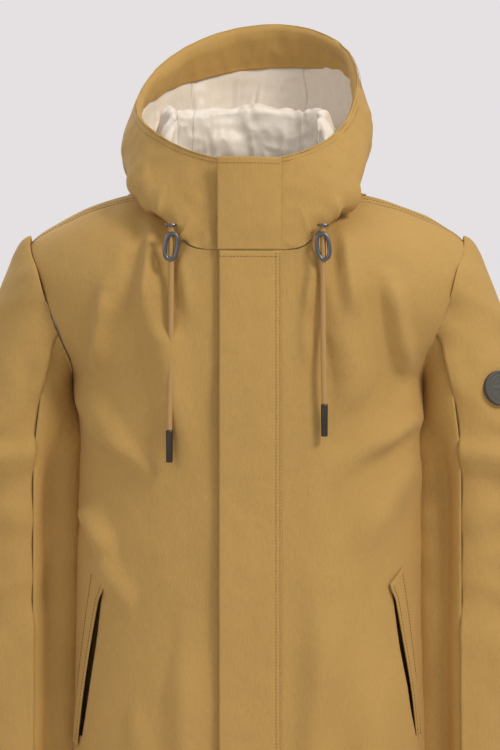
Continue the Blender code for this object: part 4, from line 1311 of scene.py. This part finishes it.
def make_hood():
    front = front_edge_turn()
    seam = CENTRE_PANEL_TURN
    for name, surface in (("left", hood_side_surface(seam)), ("right", right_hood_side)):
        item = panel("hood_" + name, surface, 150, 90, SHELL, CLOTH, hood_fold)
        cloth_piece(item, ["hood_side_" + name], "camel_cotton")
        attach(item, "coat")
    middle = panel("hood_middle", hood_panel(seam, 360 - seam), 60, 90, SHELL, CLOTH, hood_fold)
    cloth_piece(middle, ["hood_centre_panel"], "camel_cotton")
    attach(middle, "coat")
    facing = panel("rim_facing", facing_surface(359 - front, front + 1), 320, 24, SHELL, CLOTH, facing_fold)
    cloth_piece(facing, ["hood_facing"], "camel_cotton")
    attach(facing, "coat")
    for name, start, end in (("left", front + 4, seam), ("right", 360 - seam, 356 - front)):
        item = panel("hood_satin_" + name, lining_surface(start, end), 150, 130, SATIN, LINING, satin_fold)
        cloth_piece(item, ["hood_lining_" + name], "cream_satin")
        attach(item, "coat")
    item = panel("hood_satin_middle", lining_surface(seam, 360 - seam), 60, 130, SATIN, LINING, satin_fold)
    cloth_piece(item, ["hood_lining_centre"], "cream_satin")
    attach(item, "coat")
    repaint("rim_cord", BRAID)
    repaint("neck_tape", TAPE)
    repaint("hanger_loop", TAPE)


def lining_surface(start, end):
    """Faces inward, so it runs the other way round."""
    return lambda u, v: hood_lining(mix(end, start, u), v)


# ---------------------------------------------------------------- front closure and pockets

def front_base(x, z):
    """The coat's front under the flaps: the chest below the neck seam and the hood above it."""
    chest = AXIS_Y - front_depth(z) * (1 - (abs(x) / CHEST_HALF) ** ROUNDNESS) ** (1 / ROUNDNESS)
    if z <= FRONT_NECK_Z:
        return Vector((x, chest, z))
    turn = math.asin(x / RIM_HALF)
    rim = AXIS_Y + mix(-front_depth(RIM_FRONT_Z), RIM_BACK_DEPTH, (1 - math.cos(turn)) / 2)
    return Vector((x, mix(chest, rim, (z - FRONT_NECK_Z) / (RIM_FRONT_Z - FRONT_NECK_Z)), z))


def flap_lift(u):
    """How far the flap stands off the front: flush at its root and free at its edge."""
    return through([(0.0, 0.0070), (0.25, 0.0062), (0.80, 0.0026), (1.0, 0.0009)], u)


def flap_surface(low_z, high_z, free_x):
    def place(u, v):
        z = mix(low_z, high_z, v)
        point = front_base(mix(free_x, FLAP_HINGE_X, u), z)
        over_hood = 0.0022 * smooth_step(FRONT_NECK_Z, FRONT_NECK_Z + 0.03, z)
        point.y -= flap_lift(u) + over_hood
        return point
    return place


def body_flap_surface():
    return flap_surface(-BODY_LENGTH, FLAP_HIGH[2], FLAP_FREE_X)


def throat_flap_surface():
    return flap_surface(FRONT_NECK_Z + 0.0003, RIM_FRONT_Z + 0.003, FLAP_FREE_X - 0.002)


def flap_fold(point, u, v):
    wave = noise.noise(Vector((point.x * 10, 0, point.z * 6.5)) + Vector((5, 2, 8)))
    return (0.0040 * wave + 0.0008 * noise.noise(point * 50)) * smooth_step(0.0, 0.5, 1 - u)


def make_flaps():
    body_flap = panel("storm_flap_cloth", body_flap_surface(), 32, 240, SHELL, FLAP_CLOTH, flap_fold)
    cloth_piece(body_flap, ["storm_flap"], "camel_cotton")
    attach(body_flap, "storm_flap")
    throat = panel("throat_flap_cloth", throat_flap_surface(), 34, 44, SHELL, FLAP_CLOTH, flap_fold)
    cloth_piece(throat, ["throat_flap"], "camel_cotton")
    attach(throat, "throat_flap")
    for name in ("zip_box", "zip_slider", "zip_pull"):
        repaint(name, GUNMETAL)
    for name in ("left", "right"):
        repaint("zip_tape_" + name, TAPE)
        repaint("zip_chain_" + name, GUNMETAL)
        repaint("eyelet_" + name, GUNMETAL)
    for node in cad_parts:
        if node.startswith("snap_"):
            repaint(node, GUNMETAL)


def pocket_flap_surface(u, v):
    """From the free edge to the outer seam, up the slant of the pocket mouth."""
    z = mix(POCKET_TOP_Z - POCKET_LENGTH, POCKET_TOP_Z, v)
    turn = pocket_turn(z) - POCKET_FLAP_TURNS * (1 - u)
    slope = 0.016 * (1 - u) * smooth_step(0.80, 1.0, v)
    stand = mix(POCKET_FLAP_LIFT + 0.0012 * math.sin(math.pi * v), 0.0009, u)
    return torso(turn, z - slope, -stand)


def pocket_fold(point, u, v):
    return 0.0010 * noise.noise(Vector((point.x * 20, 0, point.z * 14))) * (1 - u)


def make_pocket_flaps():
    for name, turned in (("left", lambda s: s), ("right", mirrored)):
        item = panel("pocket_flap_cloth_" + name, turned(pocket_flap_surface), 16, 90, SHELL, FLAP_CLOTH,
                     pocket_fold)
        cloth_piece(item, ["pocket_flap_" + name], "camel_cotton")
        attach(item, "pocket_flap_" + name)


# ---------------------------------------------------------------- stitches

def stitch_group():
    """Stitches of one length at one pitch along every seam line it is given."""
    tree = bpy.data.node_groups.new("stitches_along_seams", 'GeometryNodeTree')
    face = tree.interface
    face.new_socket("Seams", in_out='INPUT', socket_type='NodeSocketGeometry')
    for name, kind in (("Pitch", 'NodeSocketFloat'), ("Stitch Length", 'NodeSocketFloat'),
                       ("Thread Thickness", 'NodeSocketFloat'), ("Seed", 'NodeSocketInt'),
                       ("Thread", 'NodeSocketMaterial')):
        face.new_socket(name, in_out='INPUT', socket_type=kind)
    face.new_socket("Stitches", in_out='OUTPUT', socket_type='NodeSocketGeometry')
    given = tree.nodes.new("NodeGroupInput").outputs
    result = tree.nodes.new("NodeGroupOutput")
    curve = add(tree, "GeometryNodeMeshToCurve", {"Mesh": given["Seams"]})
    spaced = add(tree, "GeometryNodeResampleCurve", {"Curve": curve.outputs[0], "Length": given["Pitch"]},
                 mode='LENGTH')
    bead = add(tree, "GeometryNodeMeshUVSphere", {"Segments": 6, "Rings": 4, "Radius": 0.5})
    thin = given["Thread Thickness"]
    shape = add(tree, "ShaderNodeCombineXYZ", {"X": thin, "Y": thin, "Z": given["Stitch Length"]})
    stitch = add(tree, "GeometryNodeTransform",
                 {"Geometry": bead.outputs["Mesh"], "Scale": shape.outputs[0]})
    tangent = tree.nodes.new("GeometryNodeInputTangent")
    turn = add(tree, "FunctionNodeAlignRotationToVector", {"Vector": tangent.outputs[0]}, axis='Z')
    uneven = add(tree, "FunctionNodeRandomValue", {2: 0.88, 3: 1.08, "Seed": given["Seed"]},
                 data_type='FLOAT')
    placed = add(tree, "GeometryNodeInstanceOnPoints",
                 {"Points": spaced.outputs[0], "Instance": stitch.outputs[0],
                  "Rotation": turn.outputs[0], "Scale": uneven.outputs[1]})
    real = add(tree, "GeometryNodeRealizeInstances", {"Geometry": placed.outputs[0]})
    painted = add(tree, "GeometryNodeSetMaterial",
                  {"Geometry": real.outputs[0], "Material": given["Thread"]})
    tree.links.new(painted.outputs[0], result.inputs[0])
    return tree


STITCHES = stitch_group()


def stitched(name, routes, seed, pitch=0.0035, length=0.0027, thickness=0.0007):
    """One piece with the stitches along several lines of points."""
    mesh = bpy.data.meshes.new(name)
    points, edges = [], []
    for route in routes:
        start = len(points)
        points += route
        edges += [(start + i, start + i + 1) for i in range(len(route) - 1)]
    mesh.from_pydata(points, edges, [])
    item = bpy.data.objects.new(name, mesh)
    bpy.context.scene.collection.objects.link(item)
    maker = item.modifiers.new("stitches", 'NODES')
    maker.node_group = STITCHES
    values = {"Pitch": pitch, "Stitch Length": length, "Thread Thickness": thickness, "Seed": seed,
              "Thread": THREAD}
    for socket in STITCHES.interface.items_tree:
        if socket.in_out == 'INPUT' and socket.name in values:
            maker[socket.identifier] = values[socket.name]
    made_plain(item)
    item.data.shade_smooth()
    return item


def line_on(surface, fold, start, end, count, out):
    """Points on a folded surface between two places (u, v), a little way off it."""
    points = []
    for i in range(count + 1):
        u, v = mix(start[0], end[0], i / count), mix(start[1], end[1], i / count)
        step = 0.004
        across = surface(min(u + step, 1), v) - surface(max(u - step, 0), v)
        along = surface(u, min(v + step, 1)) - surface(u, max(v - step, 0))
        point = surface(u, v)
        lift = fold(point, u, v) if fold else 0.0
        points.append(point + across.cross(along).normalized() * (lift + out))
    return points


def share_of_flap(x):
    return (x - FLAP_FREE_X) / (FLAP_HINGE_X - FLAP_FREE_X)


def make_flap_stitches():
    body, throat = body_flap_surface(), throat_flap_surface()
    rows = [line_on(body, flap_fold, (share_of_flap(x), 0.004), (share_of_flap(x), 0.996), 260, 0.0001)
            for x in (0.0300, 0.0342)]
    rows.append(line_on(body, flap_fold, (0.02, 0.992), (0.90, 0.992), 40, 0.0001))
    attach(stitched("storm_flap_stitches", rows, 3), "storm_flap")
    rim = [line_on(throat, flap_fold, (0.05, 0.93), (0.95, 0.93), 40, 0.0001)]
    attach(stitched("throat_flap_stitches", rim, 4), "throat_flap")


def make_coat_stitches():
    front = front_edge_turn()
    hood_middle = Vector((0, AXIS_Y, 0.05))
    rows = []
    for height in (0.945, 0.985):
        seam = [hood(mix(front + 1, 359 - front, i / 300), height) for i in range(301)]
        rows.append([point + (point - hood_middle).normalized() * 0.0004 for point in seam])
    yoke = yoke_surface(0.0)
    for start, end in ((0.0, 0.25), (0.75, 1.0)):
        rows.append(line_on(yoke, shell_fold, (start, 0.05), (end, 0.05), 80, 0.0002))
    back = back_surface()
    rows.append(line_on(back, shell_fold, (0.02, 0.99), (0.98, 0.99), 140, 0.0002))
    rows.append(line_on(back, shell_fold, (0.0, 0.03), (1.0, 0.03), 160, 0.0002))
    for turned in (lambda s: s, mirrored):
        front_side = turned(front_surface())
        rows.append(line_on(front_side, shell_fold, (0.0, 0.03), (1.0, 0.03), 120, 0.0002))
    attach(stitched("coat_stitches", rows, 5), "coat")


def make_pocket_stitches():
    for name, turned in (("left", lambda s: s), ("right", mirrored)):
        surface = turned(pocket_flap_surface)
        near, far = (0.16, 0.92) if name == "left" else (0.84, 0.08)
        fold = pocket_fold if name == "left" else None
        rows = [line_on(surface, fold, (near, 0.03), (near, 0.96), 70, 0.0003),
                line_on(surface, None, (far, 0.03), (far, 0.96), 70, 0.0003)]
        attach(stitched("pocket_flap_stitches_" + name, rows, 6), "pocket_flap_" + name)


# ---------------------------------------------------------------- the whole coat

make_camera()
make_drawcords()
make_body()
make_sleeves()
make_badge()
make_hood()
make_flaps()
make_pocket_flaps()
make_flap_stitches()
make_coat_stitches()
make_pocket_stitches()
make_studio()
